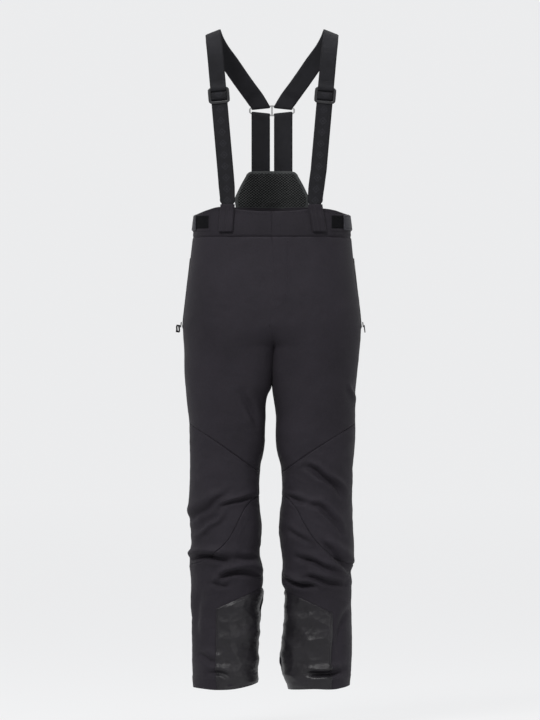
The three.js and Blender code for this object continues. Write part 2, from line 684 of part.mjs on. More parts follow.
// Stations { at, wide, width } from rows of x, y, z, width direction and width.
function stationsFrom(side, rows) {
  return rows.map(([x, y, z, wide, width]) => ({ at: place(side, x, y, z), wide, width }));
}

const TWIST_STEPS = 8;

// One layer of webbing on the front, from inside the waistband's loop to the given height.
function frontRun(side, layer, runY, topHeight) {
  const offset = GAP + STRAP_THICK / 2 + layer * (STRAP_THICK + LAYER_GAP);
  const bottom = anchorAt(-STRAP_BOTTOM, offset);
  const neck = anchorAt(LOOP_TOP + 4, offset);
  const flat = place(side, Math.cos(anchorYaw), Math.sin(anchorYaw), 0);
  const rows = [[bottom.x, bottom.y, -STRAP_BOTTOM, flat, STRAP_NECK_WIDTH]];
  // Above the loop the webbing turns square to the front in small steps, so layers stay apart.
  for (let k = 0; k <= TWIST_STEPS; k++) {
    const share = k / TWIST_STEPS;
    const wide = flat.clone().lerp(frontWide(side), share).normalize();
    const x = lerp(neck.x, strapXAt(STRAIGHT_FROM), share * share);
    const width = lerp(STRAP_NECK_WIDTH, STRAP_WIDTH, Math.sin((share * Math.PI) / 2));
    const z = lerp(LOOP_TOP + 4, STRAIGHT_FROM, share);
    rows.push([x, lerp(neck.y, runY, share), z, wide, width]);
  }
  rows.push([strapXAt(topHeight), runY, topHeight, frontWide(side), STRAP_WIDTH]);
  return stationsFrom(side, rows);
}

for (const [word, side] of sides) {
  const front = frontWide(side);
  const top = place(side, Math.cos(SHOULDER_SLOPE), 0, -Math.sin(SHOULDER_SLOPE));
  const behind = place(side, Math.cos(BACK_RUN_SLOPE), 0, -Math.sin(BACK_RUN_SLOPE));
  const { turn, station } = turnRoundRod(side, 1);

  // Front run, shoulder, back run, the turn round the ring and the sewn tail.
  const shoulder = stationsFrom(side, [
    [STRAP_X + 28, mainRunY + 8, SHOULDER_HEIGHT - 33, front, STRAP_WIDTH],
    [STRAP_X + 30.5, mainRunY + 25, SHOULDER_HEIGHT - 14, top, STRAP_WIDTH],
    [STRAP_X + 31.5, mainRunY + 51, SHOULDER_HEIGHT - 3, top, STRAP_WIDTH],
    [STRAP_X + 31.5, mainRunY + 79, SHOULDER_HEIGHT, top, STRAP_WIDTH],
    [STRAP_X + 29.5, RING_Y - 106, SHOULDER_HEIGHT - 4, top, STRAP_WIDTH],
    [STRAP_X + 25, RING_Y - 78, SHOULDER_HEIGHT - 15, top, STRAP_WIDTH],
    [STRAP_X + 14, RING_Y - 50, SHOULDER_HEIGHT - 36, behind, STRAP_WIDTH + 2],
    [RING_STRAP_X + 69, RING_Y - 28, RING_HEIGHT + 106, behind, RING_STRAP_WIDTH - 2],
    [RING_STRAP_X + 46, RING_Y - 14, RING_HEIGHT + 73, behind, RING_STRAP_WIDTH - 2],
    [RING_STRAP_X + RING_STRAP_WIDTH / 2 + 1, RING_Y - 7, RING_HEIGHT + RING_STRAP_WIDTH - 2,
      behind, RING_STRAP_WIDTH - 2],
  ]);
  const tail = [
    station(loopRadius - 1, TAIL_LENGTH / 2, RING_STRAP_WIDTH - 2),
    station(loopRadius - 2, TAIL_LENGTH, RING_STRAP_WIDTH - 4),
  ];
  const stations = [...frontRun(side, 0, mainRunY, STRAIGHT_TO), ...shoulder,
    station(-loopRadius, RING_STRAP_WIDTH / 3), ...turn, ...tail];
  add(`${word}_shoulder_strap`, ribbon(stations, STRAP_THICK), looks.webbing);

  // The webbing's free end returns up the front to the slide buckle.
  const returnRun = frontRun(side, 1, returnRunY, BUCKLE_HEIGHT);
  add(`${word}_strap_return`, ribbon(returnRun, STRAP_THICK), looks.webbing);

  // A staple-shaped fabric loop holds both layers on the waistband. Its feet reach down to it.
  const footAt = (x) => Math.min(LOOP_FOOT_REACH, Math.max(0, fallAt(side * x))) - GAP;
  const roof = -(2 * STRAP_THICK + LAYER_GAP + 2 * GAP);
  const half = LOOP_WIDTH / 2;
  const [lowFoot, highFoot] = [footAt(LOOP_WALL - half), footAt(half - LOOP_WALL)];
  const staple = outline([
    [-half, lowFoot], [-half, roof - LOOP_WALL], [half, roof - LOOP_WALL], [half, highFoot],
    [half - LOOP_WALL, highFoot], [half - LOOP_WALL, roof],
    [LOOP_WALL - half, roof], [LOOP_WALL - half, lowFoot],
  ]);
  const loop = add(`${word}_strap_loop`,
    sheared(staple, -LOOP_BOTTOM, LOOP_TOP, (z) => anchorAt(z, 0).y - anchorAt(0, 0).y),
    looks.waistband);
  const foothold = anchorAt(0, 0);
  loop.position.set(side * foothold.x, foothold.y, 0);
  loop.rotation.z = side * anchorYaw;

  // Slide buckle: a front frame, two rails and a bar behind the webbing.
  const halfTall = BUCKLE_TALL / 2;
  const slot = STRAP_WIDTH / 2 + BUCKLE_PLAY;
  const halfWidth = slot + BUCKLE_RAIL;
  const frame = rectangle(-halfWidth, -halfTall, halfWidth, halfTall);
  frame.holes.push(rectangle(-slot, -halfTall + BUCKLE_BAR, slot, halfTall - BUCKLE_BAR));
  const frameBack = returnRunY - STRAP_THICK / 2 - GAP;
  const barFront = mainRunY + STRAP_THICK / 2 + GAP;
  const barBack = barFront + BUCKLE_THICK;
  const rail = (x) => uprightPlate(
    rectangle(x, -halfTall, x + halfWidth - slot, halfTall), barBack - frameBack + 1, barBack);
  const bar = rectangle(-halfWidth, -BUCKLE_BAR / 2, halfWidth, BUCKLE_BAR / 2);
  const buckle = joined([
    uprightPlate(frame, BUCKLE_THICK, frameBack),
    rail(-halfWidth), rail(slot),
    uprightPlate(bar, BUCKLE_THICK, barBack),
  ]);
  const mesh = add(`${word}_slide_buckle`, buckle, looks.buckle);
  mesh.position.set(side * strapXAt(BUCKLE_HEIGHT), 0, BUCKLE_HEIGHT);
  mesh.rotation.y = side * straightLean;
}

// ---- Back connector --------------------------------------------------------------------

// An elongated ring with a centre bar: two openings, each holding an upper and a lower strap.
function ringHalf(side, inset, start) {
  const tip = RING_HALF_WIDTH - inset;
  const rise = RING_TIP_RISE - inset;
  const node = RING_NODE_RISE - inset - start * Math.tan(rodFall);
  const upper = [[start, node], [ringShoulder, rise], [tip, rise / 2]];
  const lower = upper.map(([x, z]) => [x, -z]).reverse();
  return [...upper, ...lower].map(([x, z]) => [side * x, z]);
}
const ringShape = outline([...ringHalf(1, 0, 0), ...ringHalf(-1, 0, 0).reverse().slice(1, -1)]);
for (const side of [1, -1]) ringShape.holes.push(outline(ringHalf(side, RING_ROD, RING_ROD / 2)));
const ring = add('back_ring', uprightPlate(ringShape, RING_THICK, RING_Y + RING_THICK / 2), looks.steel);
ring.position.z = RING_HEIGHT;

// ---- Mesh back panel and lower straps --------------------------------------------------

const panelBottom = BACK_RISE + GAP;
const panel = new THREE.Shape();
panel.moveTo(-PANEL_LOW_HALF + 4, panelBottom);
panel.lineTo(PANEL_LOW_HALF - 4, panelBottom);
panel.lineTo(PANEL_LOW_HALF, PANEL_SHOULDER);
panel.lineTo(PANEL_TOP_HALF + PANEL_CORNER / 3, PANEL_TOP - PANEL_CORNER);
panel.quadraticCurveTo(PANEL_TOP_HALF, PANEL_TOP, PANEL_TOP_HALF - PANEL_CORNER, PANEL_TOP);
panel.lineTo(-PANEL_TOP_HALF + PANEL_CORNER, PANEL_TOP);
panel.quadraticCurveTo(-PANEL_TOP_HALF, PANEL_TOP,
  -PANEL_TOP_HALF - PANEL_CORNER / 3, PANEL_TOP - PANEL_CORNER);
panel.lineTo(-PANEL_LOW_HALF, PANEL_SHOULDER);
const panelGeometry = new THREE.ExtrudeGeometry(panel,
  { depth: PANEL_THICK, bevelEnabled: false, curveSegments: 5 });
panelGeometry.rotateX(Math.PI / 2).translate(0, panelBack, 0);
add('mesh_back_panel', panelGeometry, looks.mesh);

for (const [word, side] of sides) {
  const { turn, station } = turnRoundRod(side, -1);
  const sewnY = panelBack + GAP + STRAP_THICK / 2;
  const run = [PANEL_TOP - PANEL_OVERLAP, PANEL_TOP + 4].map((z) => ({
    at: place(side, RING_STRAP_X, sewnY, z), wide: place(side, 1, 0, 0), width: RING_STRAP_WIDTH,
  }));
  const tail = [station(loopRadius - 1, TAIL_LENGTH / 2), station(loopRadius - 3, TAIL_LENGTH)];
  const stations = [...run, station(-loopRadius, 12), ...turn, ...tail];
  add(`${word}_back_strap`, ribbon(stations, STRAP_THICK), looks.webbing);
}

export default skiPants;
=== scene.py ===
"""Looks of the ski trousers with shoulder straps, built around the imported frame.

Sizes are in millimetres until a mesh is made, and metres from there on. The front faces -Y,
the wearer's left is +X, and side is 1 for the wearer's left and -1 for the wearer's right.
"""

import math

import bpy
import numpy as np
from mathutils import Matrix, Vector


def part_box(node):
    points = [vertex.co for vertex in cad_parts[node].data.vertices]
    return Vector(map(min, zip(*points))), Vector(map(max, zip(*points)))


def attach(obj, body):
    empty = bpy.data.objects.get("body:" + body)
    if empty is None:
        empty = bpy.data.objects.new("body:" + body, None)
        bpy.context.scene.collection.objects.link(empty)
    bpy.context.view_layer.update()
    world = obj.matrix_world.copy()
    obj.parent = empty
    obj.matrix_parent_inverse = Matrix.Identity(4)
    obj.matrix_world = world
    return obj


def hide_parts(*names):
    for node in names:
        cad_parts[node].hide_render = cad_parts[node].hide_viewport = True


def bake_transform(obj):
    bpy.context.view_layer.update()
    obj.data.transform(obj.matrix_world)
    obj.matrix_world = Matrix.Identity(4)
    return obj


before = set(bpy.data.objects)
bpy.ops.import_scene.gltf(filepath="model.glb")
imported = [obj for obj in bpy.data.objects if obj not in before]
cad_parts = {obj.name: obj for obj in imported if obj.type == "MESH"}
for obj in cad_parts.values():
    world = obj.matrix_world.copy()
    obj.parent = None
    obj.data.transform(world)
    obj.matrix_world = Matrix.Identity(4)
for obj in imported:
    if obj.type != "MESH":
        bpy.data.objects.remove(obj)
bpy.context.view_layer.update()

MM = 0.001
SIDES = (("left", 1), ("right", -1))


# ---- Camera, floor and light -------------------------------------------------------------------

VIEW_CENTRE = Vector((-0.0045, 0.0, -0.333))
VIEW_HEIGHT = 1.62
CAMERA_DISTANCE = 14.0
SENSOR = 36.0
FLOOR_DROP = 1.16
FLOOR_RADIUS = 22.0
FLOOR_SIDES = 96
BEND = 6.0
WALL_TOP = 24.0
FLOOR_GLOW = 0.80
NEAR_GLOW_SHARE = 0.42  # how much of the glow the half nearer the camera keeps
GLOW_FROM_Y, GLOW_TO_Y = -1.2, 0.2
FLOOR_COLOUR = (0.985, 0.99, 1.0, 1.0)


def set_camera():
    """A long level lens, square on to the front."""
    data = bpy.data.cameras.new("camera")
    data.sensor_width = SENSOR
    data.lens = SENSOR * CAMERA_DISTANCE / VIEW_HEIGHT
    data.clip_end = 60
    camera = bpy.data.objects.new("camera", data)
    camera.location = VIEW_CENTRE + Vector((0, -CAMERA_DISTANCE, 0))
    camera.rotation_euler = (math.pi / 2, 0, 0)
    bpy.context.scene.collection.objects.link(camera)
    bpy.context.scene.camera = camera


def set_floor():
    """A round pale floor that curves up all round into a wall, far from the object."""
    profile = [(0.5, 0.0), (2.0, 0.0), (8.0, 0.0), (FLOOR_RADIUS, 0.0)]
    for step in range(1, 13):
        angle = step / 12 * math.pi / 2
        profile.append((FLOOR_RADIUS + BEND * math.sin(angle), BEND * (1 - math.cos(angle))))
    profile.append((FLOOR_RADIUS + BEND, WALL_TOP))
    count = FLOOR_SIDES
    turns = [step / count * 2 * math.pi for step in range(count)]
    points = [(r * math.sin(turn), r * math.cos(turn), z - FLOOR_DROP)
              for r, z in profile for turn in turns]
    faces = [tuple(range(count))]
    for k in range(len(profile) - 1):
        for i in range(count):
            nxt = (i + 1) % count
            faces.append((k * count + i, (k + 1) * count + i, (k + 1) * count + nxt, k * count + nxt))
    mesh = bpy.data.meshes.new("studio_floor")
    mesh.from_pydata(points, [], faces)
    mesh.shade_smooth()
    floor = bpy.data.objects.new("studio_floor", mesh)
    bpy.context.scene.collection.objects.link(floor)
    mesh.materials.append(floor_material())


def floor_material():
    """Pale and matt. The far half glows more, so that the light stays directional."""
    material = bpy.data.materials.new("pale_floor")
    material.use_nodes = True
    tree = material.node_tree
    shader = tree.nodes["Principled BSDF"]
    shader.inputs["Roughness"].default_value = 0.95
    shader.inputs["Specular IOR Level"].default_value = 0.0
    shader.inputs["Emission Color"].default_value = FLOOR_COLOUR
    coordinates = tree.nodes.new("ShaderNodeTexCoord")
    split = tree.nodes.new("ShaderNodeSeparateXYZ")
    glow = tree.nodes.new("ShaderNodeMapRange")
    glow.inputs["From Min"].default_value = GLOW_FROM_Y
    glow.inputs["From Max"].default_value = GLOW_TO_Y
    glow.inputs["To Min"].default_value = FLOOR_GLOW * NEAR_GLOW_SHARE
    glow.inputs["To Max"].default_value = FLOOR_GLOW
    tree.links.new(coordinates.outputs["Object"], split.inputs["Vector"])
    tree.links.new(split.outputs["Y"], glow.inputs["Value"])
    tree.links.new(glow.outputs["Result"], shader.inputs["Emission Strength"])
    cloud = tree.nodes.new("ShaderNodeTexNoise")
    cloud.inputs["Scale"].default_value = 0.4
    ramp = tree.nodes.new("ShaderNodeValToRGB")
    ramp.color_ramp.elements[0].color = (0.095, 0.095, 0.096, 1)
    ramp.color_ramp.elements[1].color = (0.1, 0.1, 0.101, 1)
    tree.links.new(cloud.outputs["Fac"], ramp.inputs["Fac"])
    tree.links.new(ramp.outputs["Color"], shader.inputs["Base Color"])
    return material


def area_light(name, place, aim, size, power):
    """Place, aim and size are metres, and power is watts."""
    data = bpy.data.lights.new(name, "AREA")
    data.shape = "RECTANGLE"
    data.size, data.size_y = size
    data.energy = power
    light = bpy.data.objects.new(name, data)
    light.location = place
    light.rotation_euler = (Vector(aim) - Vector(place)).to_track_quat("-Z", "Y").to_euler()
    bpy.context.scene.collection.objects.link(light)


def set_light():
    """A key light from the upper left, a weak fill from the right and a top light."""
    world = bpy.data.worlds.new("studio")
    world.use_nodes = True
    background = world.node_tree.nodes["Background"]
    background.inputs["Color"].default_value = (1, 1, 1, 1)
    background.inputs["Strength"].default_value = 0.12
    bpy.context.scene.world = world
    area_light("key_light", (-1.6, -3.4, 3.2), (0, 0, -0.5), (1.3, 1.3), 178)
    area_light("fill_light", (2.8, -4.6, -0.2), (0, 0, -0.5), (1.6, 2.0), 38)
    area_light("top_light", (0.4, -0.4, 3.4), (0, 0, -0.2), (1.6, 1.6), 60)
    scene = bpy.context.scene
    scene.view_settings.view_transform = "Standard"
    scene.view_settings.look = "None"


# ---- Materials ---------------------------------------------------------------------------------


class Look:
    """A material, with short ways to add and join its nodes."""

    def __init__(self, name, **settings):
        self.material = bpy.data.materials.new(name)
        self.material.use_nodes = True
        self.tree = self.material.node_tree
        self.shader = self.tree.nodes["Principled BSDF"]
        for socket, value in settings.items():
            self.shader.inputs[socket.replace("_", " ")].default_value = value

    def node(self, kind, values=None, **attributes):
        made = self.tree.nodes.new("ShaderNode" + kind)
        for key, value in attributes.items():
            setattr(made, key, value)
        for key, value in (values or {}).items():
            if isinstance(value, bpy.types.NodeSocket):
                self.tree.links.new(value, made.inputs[key])
            else:
                made.inputs[key].default_value = value
        return made

    def maths(self, operation, *terms):
        return self.node("Math", dict(enumerate(terms)), operation=operation).outputs[0]

    def place(self):
        """Where the spot is in the cloth, in millimetres across and along."""
        uv = self.node("UVMap", uv_map="cloth").outputs["UV"]
        return self.node("VectorMath", {0: uv, 1: (1000, 1000, 1000)}, operation="MULTIPLY").outputs[0]

    def body_place(self):
        return self.node("TexCoord").outputs["Object"]

    def noise(self, vector, scale, detail=3.0, roughness=0.55):
        values = {"Vector": vector, "Scale": scale, "Detail": detail, "Roughness": roughness}
        return self.node("TexNoise", values).outputs["Fac"]

    def ramp(self, factor, *stops):
        made = self.node("ValToRGB", {"Fac": factor})
        elements = made.color_ramp.elements
        while len(elements) < len(stops):
            elements.new(0.5)
        for element, (at, colour) in zip(elements, stops):
            element.position = at
            element.color = colour
        return made.outputs["Color"]

    def colour(self, factor, *stops):
        self.tree.links.new(self.ramp(factor, *stops), self.shader.inputs["Base Color"])

    def roughness(self, factor, low, high):
        made = self.node("MapRange", {"Value": factor, "To Min": low, "To Max": high})
        self.tree.links.new(made.outputs[0], self.shader.inputs["Roughness"])

    def bump(self, *layers):
        """Layers of (height, distance in metres, strength), the last one outermost."""
        normal = None
        for height, distance, strength in layers:
            values = {"Height": height, "Distance": distance, "Strength": strength}
            if normal is not None:
                values["Normal"] = normal
            normal = self.node("Bump", values).outputs["Normal"]
        self.tree.links.new(normal, self.shader.inputs["Normal"])


def grey(value, tint=(1.0, 1.0, 1.0)):
    return (value * tint[0], value * tint[1], value * tint[2], 1.0)


PLUM = (1.06, 0.92, 1.20)  # the slight violet of the shell fabric
COOL = (0.98, 0.97, 1.17)


def twill(look, place, pitch):
    """Fine diagonal ribs of a woven cloth."""
    turned = look.node("Mapping", {"Vector": place, "Rotation": (0, 0, math.radians(52))})
    turned = turned.outputs["Vector"]
    values = {"Vector": turned, "Scale": 0.314 / pitch, "Distortion": 0.6, "Detail": 1.0}
    return look.node("TexWave", values).outputs["Fac"]


def cloth_look(name, shade, tint, roughness, sheen, pitch=1.1, mottle=0.16):
    look = Look(name, Sheen_Weight=sheen, Sheen_Roughness=0.5, Specular_IOR_Level=0.16)
    place = look.place()
    body = look.body_place()
    cloud = look.noise(body, 9.0, 4.0)
    fleck = look.noise(body, 260.0, 2.0)
    mixed = look.maths("MULTIPLY_ADD", fleck, 0.45, cloud)
    dark, light = shade * (1 - mottle), shade * (1 + mottle)
    look.colour(mixed, (0.5, grey(dark, tint)), (0.95, grey(light, tint)))
    look.roughness(cloud, roughness - 0.06, roughness + 0.06)
    look.bump((look.noise(body, 55.0, 3.0), 0.0009, 0.25), (twill(look, place, pitch), 0.00022, 0.4))
    return look.material


def guard_look():
    """Coated scuff cloth: smoother and shinier, with a fine ripstop grid."""
    look = Look("scuff_guard_fabric", Specular_IOR_Level=0.4)
    place, body = look.place(), look.body_place()
    cloud = look.noise(body, 30.0, 4.0, 0.6)
    look.colour(cloud, (0.3, grey(0.0075, PLUM)), (0.7, grey(0.012, PLUM)))
    look.roughness(cloud, 0.4, 0.52)
    cells = look.node("TexBrick", {"Vector": place, "Scale": 1.0, "Mortar Size": 0.06,
                                   "Brick Width": 4.0, "Row Height": 4.0}, offset=0.0)
    crumple = look.noise(body, 85.0, 5.0, 0.62)
    look.bump((crumple, 0.002, 0.3), (cells.outputs["Fac"], 0.0002, 0.4))
    return look.material


RIB_PITCH, THREAD_PITCH = 1.3, 0.9
DIAMOND_PITCH, DIAMOND_HALF = 26.0, 9.0
DIAMOND_LINE, DIAMOND_CORE = 3.0, 5.5  # inward from the diamond's outline


def webbing_look(name, shade, patterned=False):
    """Elastic webbing: cross ribs, a plain selvedge and, on the front, a woven diamond band."""
    look = Look(name, Specular_IOR_Level=0.15, Sheen_Weight=0.03)
    place, body = look.place(), look.body_place()
    split = look.node("SeparateXYZ", {0: place})
    across, along = split.outputs["X"], split.outputs["Y"]
    rib = look.maths("SINE", look.maths("MULTIPLY", along, 2 * math.pi / RIB_PITCH))
    thread = look.maths("SINE", look.maths("MULTIPLY", across, 2 * math.pi / THREAD_PITCH))
    weave = look.maths("ADD", rib, look.maths("MULTIPLY", thread, 0.35))
    cloud = look.noise(body, 40.0, 3.0)
    if patterned:
        pattern = diamond_band(look, across, along)
        tone = look.maths("MULTIPLY_ADD", pattern, 0.5, look.maths("MULTIPLY", cloud, 0.5))
        look.colour(tone, (0.2, grey(shade * 0.8, COOL)), (0.75, grey(shade * 1.5, COOL)))
        look.bump((pattern, 0.0003, 0.6), (weave, 0.0002, 0.5))
    else:
        look.colour(cloud, (0.3, grey(shade * 0.85, COOL)), (0.7, grey(shade * 1.15, COOL)))
        look.bump((look.noise(body, 120.0), 0.0004, 0.2), (weave, 0.00022, 0.5))
    look.roughness(cloud, 0.62, 0.78)
    return look.material


def diamond_band(look, across, along):
    """1 on the outlines and cores of a row of diamonds down the middle, 0 elsewhere."""
    cell = look.maths("WRAP", along, DIAMOND_PITCH, 0.5)
    from_middle = look.maths("ABSOLUTE", look.maths("SUBTRACT", cell, DIAMOND_PITCH / 2))
    reach = look.maths("ADD", from_middle, look.maths("ABSOLUTE", across))
    inside = look.maths("LESS_THAN", reach, DIAMOND_HALF)
    hollow = look.maths("LESS_THAN", reach, DIAMOND_HALF - DIAMOND_LINE)
    core = look.maths("LESS_THAN", reach, DIAMOND_HALF - DIAMOND_CORE)
    return look.maths("ADD", look.maths("SUBTRACT", inside, hollow), core)


def pile_look():
    """The loop side of hook and loop tape: matt black pile."""
    look = Look("loop_pile", Specular_IOR_Level=0.05)
    body = look.body_place()
    curls = look.noise(body, 900.0, 4.0, 0.7)
    look.colour(curls, (0.35, grey(0.003)), (0.7, grey(0.012, COOL)))
    look.roughness(curls, 0.85, 1.0)
    look.bump((curls, 0.0008, 0.9))
    return look.material


def plastic_look():
    look = Look("buckle_plastic", Specular_IOR_Level=0.5)
    body = look.body_place()
    cloud = look.noise(body, 60.0, 4.0)
    look.colour(cloud, (0.3, grey(0.014)), (0.7, grey(0.019, COOL)))
    look.roughness(cloud, 0.34, 0.48)
    look.bump((look.noise(body, 700.0, 2.0), 0.0001, 0.35))
    return look.material


def metal_look(name, shade, roughness, metallic=1.0):
    look = Look(name, Metallic=metallic, Specular_IOR_Level=0.3)
    body = look.body_place()
    drawn = look.node("Mapping", {"Vector": body, "Scale": (1, 1, 14)}).outputs["Vector"]
    brushed = look.noise(drawn, 300.0, 3.0)
    look.colour(brushed, (0.3, grey(shade * 0.92)), (0.7, grey(shade)))
    look.roughness(brushed, roughness - 0.05, roughness + 0.08)
    look.bump((brushed, 0.00005, 0.3))
    return look.material


def spacer_mesh_look():
    """Knitted spacer mesh: light yarn, with painted shade near black in its pits."""
    look = Look("spacer_mesh", Specular_IOR_Level=0.2)
    body = look.body_place()
    painted_pit_shade = look.node("Attribute", attribute_name="pit").outputs["Fac"]
    # The pit mask paints shade near black into the pits, where the yarn sinks away from the light.
    look.colour(painted_pit_shade, (0.1, grey(0.042, (0.96, 1.03, 1.04))), (0.6, grey(0.001)))
    look.roughness(look.noise(body, 200.0), 0.55, 0.8)
    look.bump((look.noise(body, 1500.0, 3.0, 0.7), 0.0003, 0.6))
    return look.material


def make_looks():
    return {
        "shell": cloth_look("shell_fabric", 0.0200, PLUM, 0.72, 0.02),
        "waistband": cloth_look("waistband_fabric", 0.0172, PLUM, 0.74, 0.02),
        "lining": cloth_look("lining_fabric", 0.012, COOL, 0.7, 0.05, pitch=0.7),
        "thread": cloth_look("sewing_thread", 0.026, PLUM, 0.55, 0.0, pitch=0.4),
        "guard": guard_look(),
        "webbing": webbing_look("strap_webbing", 0.0135),
        "front_webbing": webbing_look("front_webbing", 0.0132, patterned=True),
        "elastic": webbing_look("elastic_fabric", 0.012),
        "tape": webbing_look("zip_tape", 0.008),
        "tab": cloth_look("tab_fabric", 0.034, COOL, 0.6, 0.02),
        "pile": pile_look(),
        "plastic": plastic_look(),
        "ring": metal_look("ring_metal", 0.62, 0.34),
        "zip": metal_look("zip_metal", 0.02, 0.5, metallic=0.4),
        "snap": metal_look("snap_metal", 0.35, 0.35),
        "cord": cloth_look("puller_cord", 0.010, COOL, 0.6, 0.05, pitch=0.8),
        "mesh": spacer_mesh_look(),
    }


looks = make_looks()


# ---- Numbers -----------------------------------------------------------------------------------


def smooth(share):
    share = np.clip(share, 0.0, 1.0)
    return share * share * (3 - 2 * share)


def lerp(a, b, share):
    return a + (b - a) * share


def through(*knots):
    """A smooth function through (place, value) pairs, level beyond both ends."""
    at, value = (np.array(column, float) for column in zip(*knots))
    slope = np.gradient(value, at)

    def read(place):
        place = np.clip(place, at[0], at[-1])
        k = np.clip(np.searchsorted(at, place) - 1, 0, len(at) - 2)
        step = at[k + 1] - at[k]
        t = (place - at[k]) / step
        ends = (2 * t**3 - 3 * t**2 + 1) * value[k] + (3 * t**2 - 2 * t**3) * value[k + 1]
        return ends + step * ((t**3 - 2 * t**2 + t) * slope[k] + (t**3 - t**2) * slope[k + 1])

    return read


def noise(x, y, seed):
    """Smooth noise from -1 to 1 with a wavelength of about 2."""
    x0, y0 = np.floor(x), np.floor(y)
    fx, fy = smooth(x - x0), smooth(y - y0)

    def corner(dx, dy):
        mixed = np.sin((x0 + dx) * 12.9898 + (y0 + dy) * 78.233 + seed * 37.719) * 4375.8545
        return 2 * (mixed - np.floor(mixed)) - 1

    low = lerp(corner(0, 0), corner(1, 0), fx)
    high = lerp(corner(0, 1), corner(1, 1), fx)
    return lerp(low, high, fy)


def crumple(x, y, seed, octaves=3):
    """Sharp-crested folds: the crests lie where layers of noise pass through zero."""
    total, weight = 0.0, 1.0
    for octave in range(octaves):
        turn = 0.7 + 1.3 * octave + seed
        across = x * math.cos(turn) + y * math.sin(turn)
        along = y * math.cos(turn) - x * math.sin(turn)
        total = total + weight * (0.5 - np.abs(noise(across, along, seed + 5 * octave)))
        x, y, weight = x * 1.9, y * 1.9, weight * 0.5
    return total


def facets(x, y, seed):
    """Cones on scattered centres, which meet in sharp ridges."""
    nearest = np.full(np.shape(x), 9.0)
    for dx in (-1, 0, 1):
        for dy in (-1, 0, 1):
            cell_x, cell_y = np.floor(x) + dx, np.floor(y) + dy
            shift = np.sin(cell_x * 127.1 + cell_y * 311.7 + seed) * 4375.85
            other = np.sin(cell_x * 269.5 + cell_y * 183.3 + seed) * 4375.85
            away = np.hypot(cell_x + shift - np.floor(shift) - x, cell_y + other - np.floor(other) - y)
            nearest = np.minimum(nearest, away)
    return nearest


# ---- The trouser surface -----------------------------------------------------------------------

WAISTBAND_HEIGHT = 57
FORK_START, FORK_END = 252, 302
WALL = 2.2
BAND_WALL = WALL + 0.4
INNER_SEAM, SIDE_SEAM = 0.004, math.pi - 0.0015  # the angles at which panels stop

# Each pair: drop from the waist, distance from the middle line.
OUTER_EDGE = {
    1: through((0, 172), (74, 180), (126, 185), (193, 194), (254, 200), (297, 198), (367, 191),
               (432, 187), (513, 187), (580, 181), (648, 180), (700, 182), (760, 184.5),
               (799, 180), (873, 178), (1030, 178), (1068, 174)),
    -1: through((0, 172), (81, 181), (153, 189), (200, 195), (254, 200.5), (304, 198),
                (378, 196), (434, 191), (468, 187), (540, 184.5), (693, 184.5), (731, 179.5),
                (783, 184.5), (850, 181), (963, 179), (1053, 178), (1072, 176)),
}
INNER_EDGE = {
    1: through((0, 0.15), (392, 0.15), (409, 2), (452, 8), (531, 10), (574, 20), (648, 22),
               (711, 16), (805, 24), (828, 22), (848, 29), (940, 29), (1001, 21), (1030, 27),
               (1072, 38)),
    -1: through((0, 0.15), (388, 0.15), (396, 2), (410, 9), (468, 15), (531, 18), (576, 27),
                (637, 29), (736, 25), (754, 28), (817, 21), (873, 27), (945, 33), (1072, 34)),
}
FRONT_DEPTH = through((0, 100), (265, 114), (396, 99), (583, 82), (720, 84), (860, 76), (1068, 75))
SEAT_DEPTH = through((0, 100), (265, 124), (396, 99), (583, 80), (760, 84), (1068, 75))
INNER_POWER = through((250, 0.42), (396, 0.42), (520, 0.6), (640, 0.78), (1068, 0.85))


def joined(drop):
    """1 where the legs share one section, falling to 0 at the crotch."""
    share = np.clip((drop - FORK_START) / (FORK_END - FORK_START), 0, 1)
    return np.sqrt(1 - share * share)


def bare(side, z, front, turn):
    """The unfolded surface. Turn is 0 at the inner seam and pi at the side seam."""
    drop = np.maximum(-z, 0)
    outer, inner = OUTER_EDGE[side](drop), INNER_EDGE[side](drop)
    cosine = np.cos(turn)
    x = (outer + inner) / 2 - (outer - inner) / 2 * cosine
    power = np.where(cosine > 0, lerp(0.95, INNER_POWER(drop), smooth(cosine * 1.6)), 0.95)
    bulge = np.abs(np.sin(turn)) ** power
    share = np.where(cosine > 0, joined(drop), 0.0)
    bulge = np.sqrt(bulge**2 * (1 - share**2) + share**2)
    y = np.where(front, -FRONT_DEPTH(drop), SEAT_DEPTH(drop)) * bulge
    return np.stack([side * x, y, z * np.ones_like(x)], -1)


def cloth(side, z, angle, out=0.0, folds=True):
    """Points of the folded surface and its outward normals. Angles at the back are negative."""
    z, angle = np.broadcast_arrays(np.asarray(z, float), np.asarray(angle, float))
    front, turn = angle >= 0, np.abs(angle)
    point = bare(side, z, front, turn)
    around = bare(side, z, front, np.minimum(turn + 0.02, math.pi))
    around = around - bare(side, z, front, np.maximum(turn - 0.02, 1e-4))
    upward = bare(side, z + 1.0, front, turn) - bare(side, z - 1.0, front, turn)
    normal = np.cross(around, upward)
    normal /= np.linalg.norm(normal, axis=-1, keepdims=True) + 1e-12
    outward = point.copy()
    drop = np.maximum(-z, 0)
    outward[..., 0] -= side * (OUTER_EDGE[side](drop) + INNER_EDGE[side](drop)) / 2
    outward[..., 2] = 0
    normal *= np.where((normal * outward).sum(-1) < 0, -1.0, 1.0)[..., None]
    lift = fold_height(side, point[..., 0] * side, z, angle) if folds else 0.0
    return point + normal * np.asarray(lift + out)[..., None], normal


